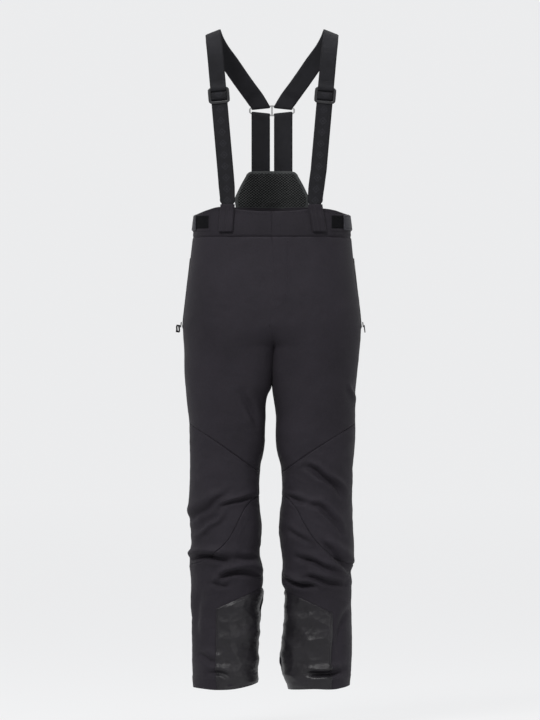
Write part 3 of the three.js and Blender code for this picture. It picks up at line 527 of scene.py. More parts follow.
# Creases across the front: points (distance from the middle line, drop), depth and width.
FRONT_CREASES = {
    -1: [
        ([(44, 637), (80, 648), (115, 666)], 3.0, 4.0),
        ([(184, 786), (148, 772), (85, 783)], 5.5, 6.0),
        ([(119, 828), (74, 806), (22, 817)], 5.5, 5.5),
        ([(142, 832), (94, 842)], 2.5, 5.0),
        ([(184, 690), (150, 668), (99, 628)], 3.0, 7.0),
        ([(175, 734), (140, 706), (105, 672)], -2.2, 6.0),
        ([(162, 988), (126, 1013)], 2.2, 6.0),
        ([(142, 1031), (94, 1040)], 2.0, 5.0),
        ([(66, 404), (48, 440), (33, 482)], 2.0, 6.0),
        ([(100, 765), (66, 778), (30, 776)], 2.0, 6.0),
        ([(160, 850), (172, 900), (168, 950)], 1.5, 8.0),
    ],
    1: [
        ([(74, 571), (118, 598), (158, 636)], 4.2, 5.5),
        ([(36, 642), (79, 651)], 2.4, 4.0),
        ([(79, 659), (117, 668), (155, 722)], 3.0, 5.0),
        ([(108, 742), (150, 776), (184, 818)], 3.8, 7.0),
        ([(54, 774), (96, 786), (142, 803)], 3.4, 5.5),
        ([(22, 823), (60, 834), (99, 842)], 5.0, 5.0),
        ([(65, 821), (108, 824), (160, 840)], 3.2, 5.0),
        ([(79, 1036), (118, 1034), (158, 1027)], 4.0, 5.5),
        ([(168, 382), (187, 433)], -1.4, 5.0),
        ([(30, 712), (62, 728), (84, 742)], 1.8, 6.0),
        ([(178, 880), (150, 930), (146, 990)], 1.5, 8.0),
    ],
}
BACK_CREASES = [
    ([(14, 318), (80, 352), (165, 338)], 4.5, 9.0),
    ([(30, 372), (90, 392), (150, 386)], 2.5, 9.0),
    ([(25, 566), (95, 584), (178, 572)], 4.5, 8.0),
    ([(40, 606), (110, 622), (180, 604)], 4.0, 7.0),
    ([(28, 648), (90, 656), (150, 642)], 3.4, 7.0),
    ([(70, 690), (130, 700), (182, 684)], 2.4, 7.0),
    ([(30, 830), (90, 845), (150, 838)], 3.0, 7.0),
    ([(60, 1010), (110, 1022), (165, 1010)], 2.4, 7.0),
]


def bent(points, steps=10):
    """A polyline along the curve through two or three points."""
    if len(points) == 2:
        points = [points[0], tuple(np.mean(points, 0)), points[1]]
    start, middle, end = (np.array(p, float) for p in points)
    handle = 2 * middle - (start + end) / 2
    t = np.linspace(0, 1, steps + 1)[:, None]
    return (1 - t) ** 2 * start + 2 * t * (1 - t) * handle + t**2 * end


def crease(x, drop, points, depth, width):
    """A sunk line with a roll of cloth above it and a smaller one below, fading at its ends."""
    line = bent(points)
    reach = 6 * width
    low, high = line.min(0) - reach, line.max(0) + reach
    lift = np.zeros_like(x)
    near = (x > low[0]) & (x < high[0]) & (drop > low[1]) & (drop < high[1])
    if not near.any():
        return lift
    place = np.stack([x[near], drop[near]], -1)[:, None]
    start, step = line[:-1], np.diff(line, axis=0)
    share = ((place - start) * step).sum(-1) / (step**2).sum(-1)
    share = np.clip(share, 0, 1)
    offset = place - (start + share[..., None] * step)
    distance = np.hypot(offset[..., 0], offset[..., 1])
    nearest = distance.argmin(1)
    rows = np.arange(len(nearest))
    distance, offset = distance[rows, nearest], offset[rows, nearest]
    run = (nearest + share[rows, nearest]) / len(step)
    across = distance / width * np.where(offset[:, 1] < 0, 1, -1)
    shape = -np.exp(-across**2)
    shape += 0.7 * np.exp(-(((across - 2.1) / 1.5) ** 2)) + 0.3 * np.exp(-(((across + 2.0) / 1.6) ** 2))
    lift[near] = depth * shape * np.sin(math.pi * np.clip(run, 0.02, 0.98)) ** 0.6
    return lift


CREASE_GAIN = 3.0
WRINKLE_SIZE = through((57, 0.0), (120, 0.5), (300, 1.1), (480, 1.1), (600, 1.9), (740, 2.3),
                       (860, 2.1), (960, 1.4), (1068, 1.2))


def fold_height(side, x, z, angle):
    """How far the cloth stands off its smooth shape: creases and wrinkles."""
    drop = -z * np.ones_like(x)
    frontness = smooth((np.sin(angle) + 0.35) / 0.7)
    wobble_x = x + 5 * noise(x / 34, drop / 34, 3 + side)
    wobble_drop = drop + 5 * noise(x / 30, drop / 30, 11 + side)
    lift = np.zeros_like(x)
    for points, depth, width in FRONT_CREASES[side]:
        lift += frontness * crease(wobble_x, wobble_drop, points, CREASE_GAIN * depth, width)
    for points, depth, width in BACK_CREASES:
        lift += (1 - frontness) * crease(wobble_x, wobble_drop, points, depth, width)
    around = np.where(angle >= 0, x, 400 - x) / 46
    wide = noise(around, drop / 75, 21 + side) + 0.5 * noise(around * 2.1, drop / 36, 27 + side)
    fine = crumple(around * 1.1, drop / 40, 2.0 + side, 3)
    calm = smooth((np.abs(np.sin(angle))) / 0.2)
    return lift + WRINKLE_SIZE(drop) * (1.0 * wide + 1.1 * fine) * lerp(0.35, 1, calm)


# ---- Mesh builders -----------------------------------------------------------------------------


def mesh_object(name, points, faces, materials):
    """Points in millimetres become an object in metres."""
    mesh = bpy.data.meshes.new(name)
    mesh.from_pydata((np.asarray(points) * MM).tolist(), [], faces)
    for material in materials:
        mesh.materials.append(material)
    mesh.validate()
    mesh.shade_smooth()
    made = bpy.data.objects.new(name, mesh)
    bpy.context.scene.collection.objects.link(made)
    return made


def set_uv(made, places):
    """Places are millimetres in the cloth for each point of the mesh."""
    mesh = made.data
    layer = mesh.uv_layers.new(name="cloth")
    corner = np.empty(len(mesh.loops), int)
    mesh.loops.foreach_get("vertex_index", corner)
    layer.data.foreach_set("uv", (np.asarray(places)[corner] * MM).ravel())


def grid_faces(rows, columns, ring=False):
    """Quads of a grid of rows by columns points, whose last column may meet its first."""
    faces = []
    for j in range(rows - 1):
        for i in range(columns if ring else columns - 1):
            nxt = (i + 1) % columns
            faces.append((j * columns + i, j * columns + nxt,
                          (j + 1) * columns + nxt, (j + 1) * columns + i))
    return faces


def grid_places(points):
    """Distances across and along a grid, in millimetres, from its middle column."""
    across = np.linalg.norm(np.diff(points, axis=1), axis=2)
    along = np.linalg.norm(np.diff(points, axis=0), axis=2)
    u = np.concatenate([np.zeros((len(points), 1)), across.cumsum(1)], 1)
    v = np.concatenate([np.zeros((1, points.shape[1])), along.cumsum(0)], 0)
    u = u - u[:, points.shape[1] // 2][:, None]
    return np.stack([u, v], -1).reshape(-1, 2)


def looks_inward(points, outward):
    """Whether the grid's faces look against the outward directions."""
    across = np.diff(points, axis=1)[:-1]
    along = np.diff(points, axis=0)[:, :-1]
    return (np.cross(across, along) * outward[:-1, :-1]).sum() < 0


# The six faces of a block, by its corners: four round the foot and the four above them.
BLOCK_FACES = [(0, 1, 2, 3), (7, 6, 5, 4), (0, 4, 5, 1), (1, 5, 6, 2), (2, 6, 7, 3), (3, 7, 4, 0)]


def faces_out(points, faces):
    """The faces of closed shapes, turned round if they enclose a negative volume."""
    points = np.asarray(points)
    volume = 0.0
    for face in faces:
        corners = points[list(face[:4])]
        volume += corners[0] @ np.cross(corners[1], corners[2])
        if len(face) > 3:
            volume += corners[0] @ np.cross(corners[2], corners[3])
    return [face[::-1] for face in faces] if volume < 0 else faces


def sheet_object(name, points, normals, look, thickness, inner_look=None):
    """A sheet through a grid of points, given a thickness inward."""
    rows, columns = points.shape[:2]
    faces = grid_faces(rows, columns)
    if looks_inward(points, normals):
        faces = [face[::-1] for face in faces]
    made = mesh_object(name, points.reshape(-1, 3), faces, [looks[look], looks[inner_look or look]])
    set_uv(made, grid_places(points))
    solid = made.modifiers.new("thickness", "SOLIDIFY")
    solid.thickness = thickness * MM
    solid.offset = -1
    solid.use_even_offset = False
    solid.material_offset = 1 if inner_look else 0
    return made


def finish(made, slot, *replaced, body="root"):
    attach(made, body)
    if replaced:
        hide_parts(*replaced)
    return made


# Every stitch of a body is part of one mesh of small raised dashes.
stitch_rows = []
STITCH_PITCH, STITCH_LENGTH, STITCH_HALF = 3.6, 2.6, 0.32


def sew(points, normals, rise=0.2):
    """Dashes of thread along a line of points that lies on cloth."""
    points = np.asarray(points, float)
    length = np.concatenate([[0], np.linalg.norm(np.diff(points, axis=0), axis=1).cumsum()])
    starts = np.arange(STITCH_PITCH / 2, length[-1] - STITCH_LENGTH, STITCH_PITCH)
    if not len(starts):
        return

    def at(places, values):
        return np.stack([np.interp(places, length, values[:, k]) for k in range(3)], -1)

    first, last = at(starts, points), at(starts + STITCH_LENGTH, points)
    up = at(starts + STITCH_LENGTH / 2, np.asarray(normals, float))
    up /= np.linalg.norm(up, axis=1, keepdims=True)
    aside = np.cross(last - first, up)
    aside *= STITCH_HALF / (np.linalg.norm(aside, axis=1, keepdims=True) + 1e-9)
    top = up * (rise + STITCH_HALF * 0.9)
    low = -up * 0.4
    inset = (last - first) * 0.16
    corners = [first + aside + low, first - aside + low, last - aside + low, last + aside + low,
               first + inset + aside * 0.6 + top, first + inset - aside * 0.6 + top,
               last - inset - aside * 0.6 + top, last - inset + aside * 0.6 + top]
    stitch_rows.append(np.stack(corners, 1))


def make_stitches(name, body="root", slot="shell_fabric"):
    """Turns the rows sewn so far into one mesh."""
    corners = np.concatenate(stitch_rows)
    stitch_rows.clear()
    faces = [tuple(8 * k + c for c in face[::-1]) for k in range(len(corners)) for face in BLOCK_FACES]
    points = corners.reshape(-1, 3)
    made = mesh_object(name, points, faces, [looks["thread"]])
    set_uv(made, points[:, [0, 2]])
    return finish(made, slot, body=body)


# ---- Leg panels --------------------------------------------------------------------------------

# Seam heights as drops, from the inner seam (share 0) to the side seam (share 1).
KNEE_TOP = through((0, 585), (0.5, 532), (1, 476))
KNEE_LOW = through((0, 636), (0.14, 652), (0.52, 745), (0.8, 782), (1, 792))
CALF_TOP = 640
SEAM_GAP = 0.15
SEAM_SINK = 1.7
SEAM_WIDTH = 2.4
HEM_FOLD = 26
HEM_EDGE = {
    1: through((0, 1073), (0.12, 1072), (0.4, 1070), (0.8, 1070), (1, 1064)),
    -1: through((0, 1058), (0.14, 1064), (0.35, 1070), (0.6, 1072), (1, 1068)),
}


def across_share(angle):
    """0 at the inner seam and 1 at the side seam, as seen from the front."""
    return (1 - np.cos(angle)) / 2


def crowded(count, ends=0.55):
    """Shares from 0 to 1, closer together at both ends."""
    share = np.linspace(0, 1, count)
    return share - ends * np.sin(2 * math.pi * share) / (2 * math.pi)


def edge_distance(points):
    """Distance of every grid point from the left, right, top and bottom edges."""
    places = grid_places(points).reshape(points.shape[0], points.shape[1], 2)
    u, v = places[..., 0], places[..., 1]
    return u - u[:, :1], u[:, -1:] - u, v, v[-1:] - v


def leg_panel(name, side, back, top, bottom, columns, rows, sewn, hem=False):
    """A panel between two seams. Sewn says which of its inner, outer, top, bottom edges sink."""
    angle = np.clip(crowded(columns)[None, :] * math.pi, INNER_SEAM, SIDE_SEAM)
    share = across_share(angle)
    down = crowded(rows, 0.4)[:, None]
    drop = lerp(top(share) + SEAM_GAP, bottom(share) - SEAM_GAP, down)
    signed = -angle if back else angle
    points, normals = cloth(side, -drop, signed * np.ones_like(drop))
    distances = edge_distance(points)
    sink = np.zeros_like(drop)
    for distance, is_sewn in zip(distances, sewn):
        if is_sewn:
            pucker = 1 + 0.35 * noise(points[..., 0] / 5, points[..., 2] / 5, 31)
            sink = np.maximum(sink, SEAM_SINK * pucker * np.exp(-((distance / SEAM_WIDTH) ** 2)))
            sink = np.maximum(sink, 0.28 * np.exp(-(((distance - 6.5) / 1.1) ** 2)))
    if hem:
        sink -= 0.9 * smooth((HEM_FOLD - distances[3]) / 1.5)
    points = points - normals * sink[..., None]
    made = sheet_object(f"{name}_cloth", points, normals, "shell", WALL, "lining")
    return finish(made, "shell_fabric", name)


def leg_top(share):
    return WAISTBAND_HEIGHT * np.ones_like(share)


def calf_top(share):
    return CALF_TOP * np.ones_like(share)


def make_legs():
    """Five panels to a leg, each with its own sunk and puckered seam edges."""
    for word, side in SIDES:
        hem = HEM_EDGE[side]
        leg_panel(f"{word}_front_panel", side, False, leg_top, KNEE_TOP, 110, 190, (1, 1, 1, 1))
        leg_panel(f"{word}_seat_panel", side, True, leg_top, calf_top, 90, 170, (1, 1, 1, 1))
        leg_panel(f"{word}_knee_panel", side, False, KNEE_TOP, KNEE_LOW, 110, 90, (1, 1, 1, 1))
        leg_panel(f"{word}_shin_panel", side, False, KNEE_LOW, hem, 110, 150, (1, 1, 1, 0), True)
        leg_panel(f"{word}_calf_panel", side, True, calf_top, hem, 90, 140, (1, 1, 1, 0), True)


def closed_object(name, outer, inner, materials, ring=False):
    """A closed shell between two grids of points, the first one facing out."""
    if looks_inward(outer, outer - inner):
        outer, inner = outer[:, ::-1], inner[:, ::-1]
    rows, columns = outer.shape[:2]
    count = rows * columns
    faces = grid_faces(rows, columns, ring)
    faces += [tuple(count + c for c in face[::-1]) for face in grid_faces(rows, columns, ring)]
    last = (rows - 1) * columns
    for i in range(columns if ring else columns - 1):
        nxt = (i + 1) % columns
        faces.append((nxt, i, count + i, count + nxt))
        faces.append((last + i, last + nxt, count + last + nxt, count + last + i))
    for j in range(rows - 1 if not ring else 0):
        low, high = j * columns, (j + 1) * columns
        faces.append((low, high, count + high, count + low))
        faces.append((high + columns - 1, low + columns - 1,
                      count + low + columns - 1, count + high + columns - 1))
    points = np.concatenate([outer.reshape(-1, 3), inner.reshape(-1, 3)])
    made = mesh_object(name, points, faces, [looks[m] for m in materials])
    places = grid_places(outer)
    set_uv(made, np.concatenate([places, places]))
    return made


def round_edges(made, width=0.4, angle=40):
    bevel = made.modifiers.new("rounded", "BEVEL")
    bevel.width = width * MM
    bevel.segments = 2
    bevel.limit_method = "ANGLE"
    bevel.angle_limit = math.radians(angle)
    return made


# ---- Waistband ---------------------------------------------------------------------------------

# The front's top edge lifts at the straps and sags at the sides.
BAND_TOP = {
    1: through((0, -1), (40, 0), (82, 4), (112, 6), (145, 1), (165, -5), (173, -7)),
    -1: through((0, -1), (40, 0), (82, 4), (121, 9), (145, 3), (165, -4), (173, -7)),
}
BACK_TOP = through((0, 12), (110, 10), (150, 0), (173, -7))
BAND_SINK = 1.2
BAND_ROWS = 34


def band_surface(side, z, angle, out=0.0):
    """The waistband's own surface: smoother than the legs, with a slight soft waviness."""
    points, normals = cloth(side, z, angle, folds=False)
    x, down = points[..., 0], points[..., 2]
    wave = 0.8 * noise(x / 23, down / 60, 41) + 0.35 * noise(x / 8, down / 30, 43)
    wave = wave * smooth(np.abs(x) / 12)
    roll = 0.9 * np.sin(math.pi * np.clip(-down / WAISTBAND_HEIGHT, 0, 1))
    return points + normals * (wave + roll + out)[..., None], normals


def angle_at(side, z, x):
    """The angle at which the front is a given distance from the middle line."""
    drop = np.maximum(-np.asarray(z, float), 0)
    outer, inner = OUTER_EDGE[side](drop), INNER_EDGE[side](drop)
    cosine = ((outer + inner) / 2 - x) / ((outer - inner) / 2)
    return np.arccos(np.clip(cosine, -1, 1))


def band_grid(side, back, columns, rows):
    angle = np.clip(crowded(columns, 0.3)[None, :] * math.pi, 0.003, SIDE_SEAM)
    distance = np.abs(bare(side, np.zeros_like(angle), np.array(not back), angle)[..., 0])
    top = BACK_TOP(distance) if back else BAND_TOP[side](distance)
    down = crowded(rows, 0.5)[:, None]
    z = lerp(top, -WAISTBAND_HEIGHT, down)
    signed = (-angle if back else angle) * np.ones_like(z)
    return band_surface(side, z, signed)


def sink_edges(points, normals, sewn, depth=BAND_SINK, width=2.2, roll=(0, 0, 0, 0)):
    """Sewn edges sink like a seam; free folded edges roll over."""
    sink = np.zeros(points.shape[:2])
    for distance, is_sewn, is_rolled in zip(edge_distance(points), sewn, roll):
        if is_sewn:
            sink = np.maximum(sink, depth * np.exp(-((distance / width) ** 2)))
        if is_rolled:
            sink = np.maximum(sink, 1.1 * (1 - np.sqrt(np.clip(distance / 2.2, 0, 1))))
    return points - normals * sink[..., None]


def sew_band(side, back, drop_from_top=None, height=None, low=0.02, high=0.98):
    """A row of stitches along the band, under its top edge or at a height."""
    angle = np.linspace(low, high, 220) * math.pi
    distance = np.abs(bare(side, np.zeros_like(angle), np.array(not back), angle)[..., 0])
    top = BACK_TOP(distance) if back else BAND_TOP[side](distance)
    z = top - drop_from_top if height is None else np.full_like(top, height)
    points, normals = band_surface(side, z, -angle if back else angle)
    sew(points, normals)


def make_waistband():
    points, normals = band_grid(-1, False, 120, BAND_ROWS)
    points = sink_edges(points, normals, (1, 1, 0, 1), roll=(0, 0, 1, 0))
    right = sheet_object("waistband_front_right_cloth", points, normals, "waistband", BAND_WALL)
    finish(right, "waistband_fabric", "waistband_front_right")

    # The wearer's left front also takes the place of the closing flap, which is hidden.
    points, normals = band_grid(1, False, 140, BAND_ROWS)
    points = sink_edges(points, normals, (0, 1, 0, 1), roll=(1, 0, 1, 0))
    left = sheet_object("waistband_front_left_cloth", points, normals, "waistband", BAND_WALL)
    apply_modifiers(left)
    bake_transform(left)
    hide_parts("waistband_front_left", "waist_closure_flap")

    (a, na), (b, nb) = (band_grid(side, True, 90, BAND_ROWS) for side in (1, -1))
    points = np.concatenate([a[:, ::-1], b[:, 1:]], 1)
    normals = np.concatenate([na[:, ::-1], nb[:, 1:]], 1)
    points = sink_edges(points, normals, (1, 1, 0, 1), roll=(0, 0, 1, 0))
    back = sheet_object("waistband_back_cloth", points, normals, "waistband", BAND_WALL)
    finish(back, "waistband_fabric", "waistband_back")

    for drop in (3.2, 6.0):
        sew_band(-1, False, drop_from_top=drop)
        sew_band(1, False, drop_from_top=drop, low=0.33)
        for side in (1, -1):
            sew_band(side, True, drop_from_top=drop, low=0.0)
    seam_stitch = -WAISTBAND_HEIGHT + 4.5
    for side in (1, -1):
        sew_band(side, False, height=seam_stitch, low=0.02 if side < 0 else 0.33)
        sew_band(side, True, height=seam_stitch, low=0.0)


def apply_modifiers(made):
    """Makes the modified mesh the object's own mesh."""
    graph = bpy.context.evaluated_depsgraph_get()
    mesh = bpy.data.meshes.new_from_object(made.evaluated_get(graph))
    made.modifiers.clear()
    made.data = mesh


# ---- Hems, guards and gaiters ------------------------------------------------------------------

GUARD_TOP = {1: (851, 69), -1: (845, 70)}
GUARD_REACH = {1: 1.98, -1: 1.835}
GAITER_TOP, GAITER_BOTTOM, ELASTIC_TOP = 903, 1052, 1039


def make_guards():
    """Crushed, shiny cloth round the inside of each ankle."""
    for word, side in SIDES:
        reach = GUARD_REACH[side]
        angle = np.linspace(-reach, reach, 190)[None, :]
        base, slope = GUARD_TOP[side]
        top = base + slope * across_share(np.abs(angle))
        hem = HEM_EDGE[side](across_share(np.abs(angle)))
        drop = lerp(top, hem - 0.6, crowded(170, 0.3)[:, None])
        angles = np.where(np.abs(angle) < 0.004, 0.004, angle) * np.ones_like(drop)
        points, normals = cloth(side, -drop, angles)
        x, z = points[..., 0] + 500 * (angles < 0), points[..., 2]
        crush = 5.5 * facets((x + 0.5 * z) / 52, (z - 0.5 * x) / 50, 4 + side) - 1.9
        crush = crush + 0.8 * facets((x - z) / 22, (z + 0.4 * x) / 19, 8 + side)
        left, right, high, low = edge_distance(points)
        free = smooth(np.minimum(np.minimum(left, right), np.minimum(high, low)) / 9)
        out = 2.2 + 1.6 * free * np.maximum(crush, -0.9)
        points = points + normals * out[..., None]
        points = sink_edges(points, normals, (0, 0, 0, 0), roll=(1, 1, 1, 0))
        made = sheet_object(f"{word}_scuff_guard_cloth", points, normals, "guard", 1.2)
        finish(made, "scuff_guard_fabric", f"{word}_scuff_guard")
        for column in (3, -4):
            sew(points[:, column], normals[:, column])
        sew(points[4], normals[4])


def make_gaiters():
    """Inner cuffs, gathered by an elastic, that hang inside each hem."""
    for word, side in SIDES:
        angle = np.linspace(-math.pi, math.pi, 145)[None, :-1]
        angle = np.where(np.abs(angle) < 0.01, 0.01, angle)
        drop = lerp(GAITER_TOP, GAITER_BOTTOM, np.linspace(0, 1, 40))[:, None]
        points, normals = cloth(side, -drop, angle * np.ones_like(drop), folds=False)
        share = (drop - GAITER_TOP) / (GAITER_BOTTOM - GAITER_TOP)
        gather = 0.9 * np.sin(26 * angle) * smooth(share * 1.3)
        inset = 3.4 + 9.2 * np.minimum(2 * share, 1) + 0.9 + gather
        outer = points - normals * inset[..., None]
        inner = outer - normals * 1.1
        cuff = closed_object(f"{word}_snow_gaiter_cloth", outer, inner, ["lining"], ring=True)
        finish(cuff, "lining_fabric", f"{word}_snow_gaiter")
        band = drop[:, 0] > ELASTIC_TOP
        rise = 1.5 + 0.25 * np.sin(52 * angle) * np.ones_like(drop)
        top = points[band] - normals[band] * (inset[band] - rise[band])[..., None]
        low = points[band] - normals[band] * (inset[band] - 0.3)[..., None]
        elastic = closed_object(f"{word}_gaiter_elastic_band", top, low, ["elastic"], ring=True)
        finish(elastic, "elastic_fabric", f"{word}_gaiter_elastic")


# ---- Waist adjusters ---------------------------------------------------------------------------

PATCH_FRONT = {1: 132, -1: 141}
TAB_FRONT = {1: 158, -1: 168}
TAB_BACK = 30
BASE_Z, PATCH_Z, TAB_Z = (-6.5, -45), (-9.5, -39), (-8.0, -42.5)


def past_side_seam(turned):
    """Angles that run on past the side seam, as the negative angles of the back."""
    return np.where(turned <= math.pi, turned, turned - 2 * math.pi)


def side_strip(side, front_x, back_y, z_range, columns, rows, out):
    """A strip of the waistband's surface from the front, round the side seam, to the back."""
    z = lerp(z_range[0], z_range[1], np.linspace(0, 1, rows))[:, None]
    start = angle_at(side, z, front_x)
    turned = lerp(start, math.pi + np.arcsin(back_y / 100), np.linspace(0, 1, columns)[None, :])
    angle = past_side_seam(turned)
    return band_surface(side, z * np.ones_like(angle), angle, out)


def make_adjusters():
    """At each side a base strip, a loop patch on it and a hook tab over both."""
    for word, side in SIDES:
        base, up = side_strip(side, PATCH_FRONT[side] - 2, TAB_BACK + 6, BASE_Z, 70, 24, 0.25)
        strip = sheet_object(f"{word}_adjuster_base_cloth", base + up * 0.45, up, "waistband", 0.6)
        finish(round_edges(strip, 0.2), "waistband_fabric")
        points, normals = side_strip(side, PATCH_FRONT[side], TAB_BACK, PATCH_Z, 80, 34, 1.6)
        fuzz = 0.16 * noise(points[..., 0] * 1.3, points[..., 2] * 1.3, 7)
        points = sink_edges(points + normals * fuzz[..., None], normals, (0, 0, 0, 0), roll=(1, 1, 1, 1))
        patch = sheet_object(f"{word}_loop_patch_pile", points, normals, "pile", 0.9)
        finish(patch, "hook_and_loop", f"{word}_loop_patch")

        points, normals = side_strip(side, TAB_FRONT[side], TAB_BACK - 4, TAB_Z, 90, 30, 3.9)
        ends = edge_distance(points)
        lip = 0.35 * np.exp(-(((ends[0] - 2.5) / 1.3) ** 2)) + 0.25 * np.exp(-(((ends[2] - 2) / 1) ** 2))
        points = points + normals * lip[..., None]
        points = sink_edges(points, normals, (0, 0, 0, 0), roll=(1, 1, 1, 1))
        tab = sheet_object(f"{word}_waist_tab_cloth", points, normals, "tab", 1.4, "pile")
        finish(tab, "tab_fabric", f"{word}_waist_tab", body=f"{word}_waist_tab")
        sew(points[3], normals[3])
        sew(points[-4], normals[-4])
        sew(points[3:-3, 6], normals[3:-3, 6])
        make_stitches(f"{word}_waist_tab_stitching", f"{word}_waist_tab", "tab_fabric")


# ---- Webbing -----------------------------------------------------------------------------------

STRAP_THICK = 1.4


def ribbon_object(name, stations, look, step=3.0, thickness=STRAP_THICK):
    """Webbing through stations of (point, width direction, width), square to its path."""
    at = np.array([s[0] for s in stations], float)
    wide = np.array([s[1] for s in stations], float)
    width = np.array([s[2] for s in stations], float)
    length = np.concatenate([[0], np.linalg.norm(np.diff(at, axis=0), axis=1).cumsum()])
    where = np.unique(np.concatenate([np.linspace(a, b, max(2, int((b - a) / step) + 1))
                                      for a, b in zip(length[:-1], length[1:])]))
    columns = np.column_stack([at, wide, width])
    smooth_columns = [through(*zip(length, column))(where) for column in columns.T]
    at, wide, width = (np.stack(smooth_columns[:3], -1), np.stack(smooth_columns[3:6], -1),
                       smooth_columns[6])
    along = np.gradient(at, where, axis=0)
    along /= np.linalg.norm(along, axis=1, keepdims=True)
    wide /= np.linalg.norm(wide, axis=1, keepdims=True)
    thick = np.cross(along, wide)
    thick /= np.linalg.norm(thick, axis=1, keepdims=True)
    across = np.linspace(-1, 1, 13)
    edge = np.sqrt(np.clip(1 - np.abs(across) ** 14, 0, 1)) * 0.5 * 0.98
    half = list(zip(across, edge))
    section = half + [(a, -e) for a, e in half[::-1][1:-1]]
    grid, places = [], []
    for k in range(len(where)):
        row = []
        for a, t in section:
            row.append(at[k] + wide[k] * a * width[k] / 2 + thick[k] * t * thickness)
            places.append((a * width[k] / 2, where[k]))
        grid.append(row)
    points = np.array(grid)
    rows, ring = points.shape[:2]
    faces = grid_faces(rows, ring, ring=True)
    faces.append(tuple(range(ring))[::-1])
    faces.append(tuple((rows - 1) * ring + c for c in range(ring)))
    faces = faces_out(points.reshape(-1, 3), faces)
    made = mesh_object(name, points.reshape(-1, 3), faces, [looks[look]])
    set_uv(made, places)
    return made


# The straps' path, as the frame has it.
STRAP_X = 101
MAIN_Y, RETURN_Y = -103.3, -105.3
STRAIGHT_FROM, STRAIGHT_TO = 90, 340
STRAP_LEAN = math.atan2(22, 250)
SHOULDER_HEIGHT = 403
STRAP_WIDTH, RING_STRAP_WIDTH = 36, 42
BUCKLE_HEIGHT = 258
RING_X, RING_Y, RING_HEIGHT = 25.5, 110, 232
ROD_FALL = math.atan2(5, 48)
SHOULDER_SLANT, BACK_SLANT = 0.38, 0.607
ROD_CENTRE = 8.04
LOOP_RADIUS = 3.69
LOOP_LEAN = {1: 0.16, -1: 0.06}
LOOP_BOTTOM, LOOP_TOP = -46, 15


def strap_line_x(z):
    return STRAP_X + 3 + (z - STRAIGHT_FROM) * math.tan(STRAP_LEAN)


def flipped(side, x, y, z):
    return np.array([side * x, y, z], float)


def slanted(side, angle):
    """The width direction of webbing whose outer edge hangs lower by an angle."""
    return flipped(side, math.cos(angle), 0, -math.sin(angle))


def anchor(side, z, out):
    """Where the strap meets the waistband: point, width direction and outward normal."""
    x = STRAP_X - LOOP_LEAN[side] * (z + 15)
    point, normal = band_surface(side, np.array(float(min(z, 0))), angle_at(side, min(z, 0), x))
    point, normal = point.copy(), normal.copy()
    point[2] = z
    normal[2] = 0
    normal /= np.linalg.norm(normal)
    wide = np.array([-normal[1], normal[0], 0])
    if wide[0] * side < 0:
        wide = -wide
    return point + normal * out, wide, normal


def front_run(side, layer, run_y, top):
    """Stations from inside the loop, through a bend, up the straight line to a height."""
    out = 1.2 + layer * 2.0
    rows = []
    for z in (-40, -20, 0, 17):
        point, wide, _ = anchor(side, z, out)
        rows.append((point, wide, 28))
    neck = rows[-1]
    leaning = slanted(side, STRAP_LEAN)
    for share in np.linspace(0, 1, 9):
        wide = lerp(neck[1], leaning, share)
        x = lerp(neck[0][0] * side, strap_line_x(STRAIGHT_FROM), share**1.3)
        z = lerp(20, STRAIGHT_FROM, share)
        rows.append((flipped(side, x, lerp(neck[0][1], run_y, share), z), wide,
                     lerp(33, STRAP_WIDTH, min(2 * share, 1))))
    for z in np.linspace(STRAIGHT_FROM, top, 12)[1:]:
        rows.append((flipped(side, strap_line_x(z), run_y, z), leaning, STRAP_WIDTH))
    return rows


def rod_station(side, rise, y, distance, width=RING_STRAP_WIDTH):
    """A point near a rod of the ring: behind it by y and away from the ring by distance."""
    wide = slanted(side, rise * ROD_FALL)
    away = flipped(side, math.sin(ROD_FALL), 0, rise * math.cos(ROD_FALL))
    centre = flipped(side, RING_X, RING_Y, RING_HEIGHT + rise * ROD_CENTRE)
    return (centre + away * distance + np.array([0, y, 0]), wide, width)


def rod_turn(side, rise):
    """Half a turn round a rod of the ring, from its front to its back."""
    turn = []
    for step in range(9):
        angle = step / 8 * math.pi
        turn.append(rod_station(side, rise, -LOOP_RADIUS * math.cos(angle),
                                -LOOP_RADIUS * math.sin(angle)))
    return turn


def slant_station(side, y, rise):
    """A point of the slanting back run, by its height above the ring's upper rod."""
    slope = lerp(ROD_FALL, BACK_SLANT, min(rise / 34, 1))
    at = flipped(side, RING_X + 0.66 * rise, RING_Y + y, RING_HEIGHT + ROD_CENTRE + rise)
    return (at, slanted(side, slope), lerp(RING_STRAP_WIDTH, 40, rise / 34))


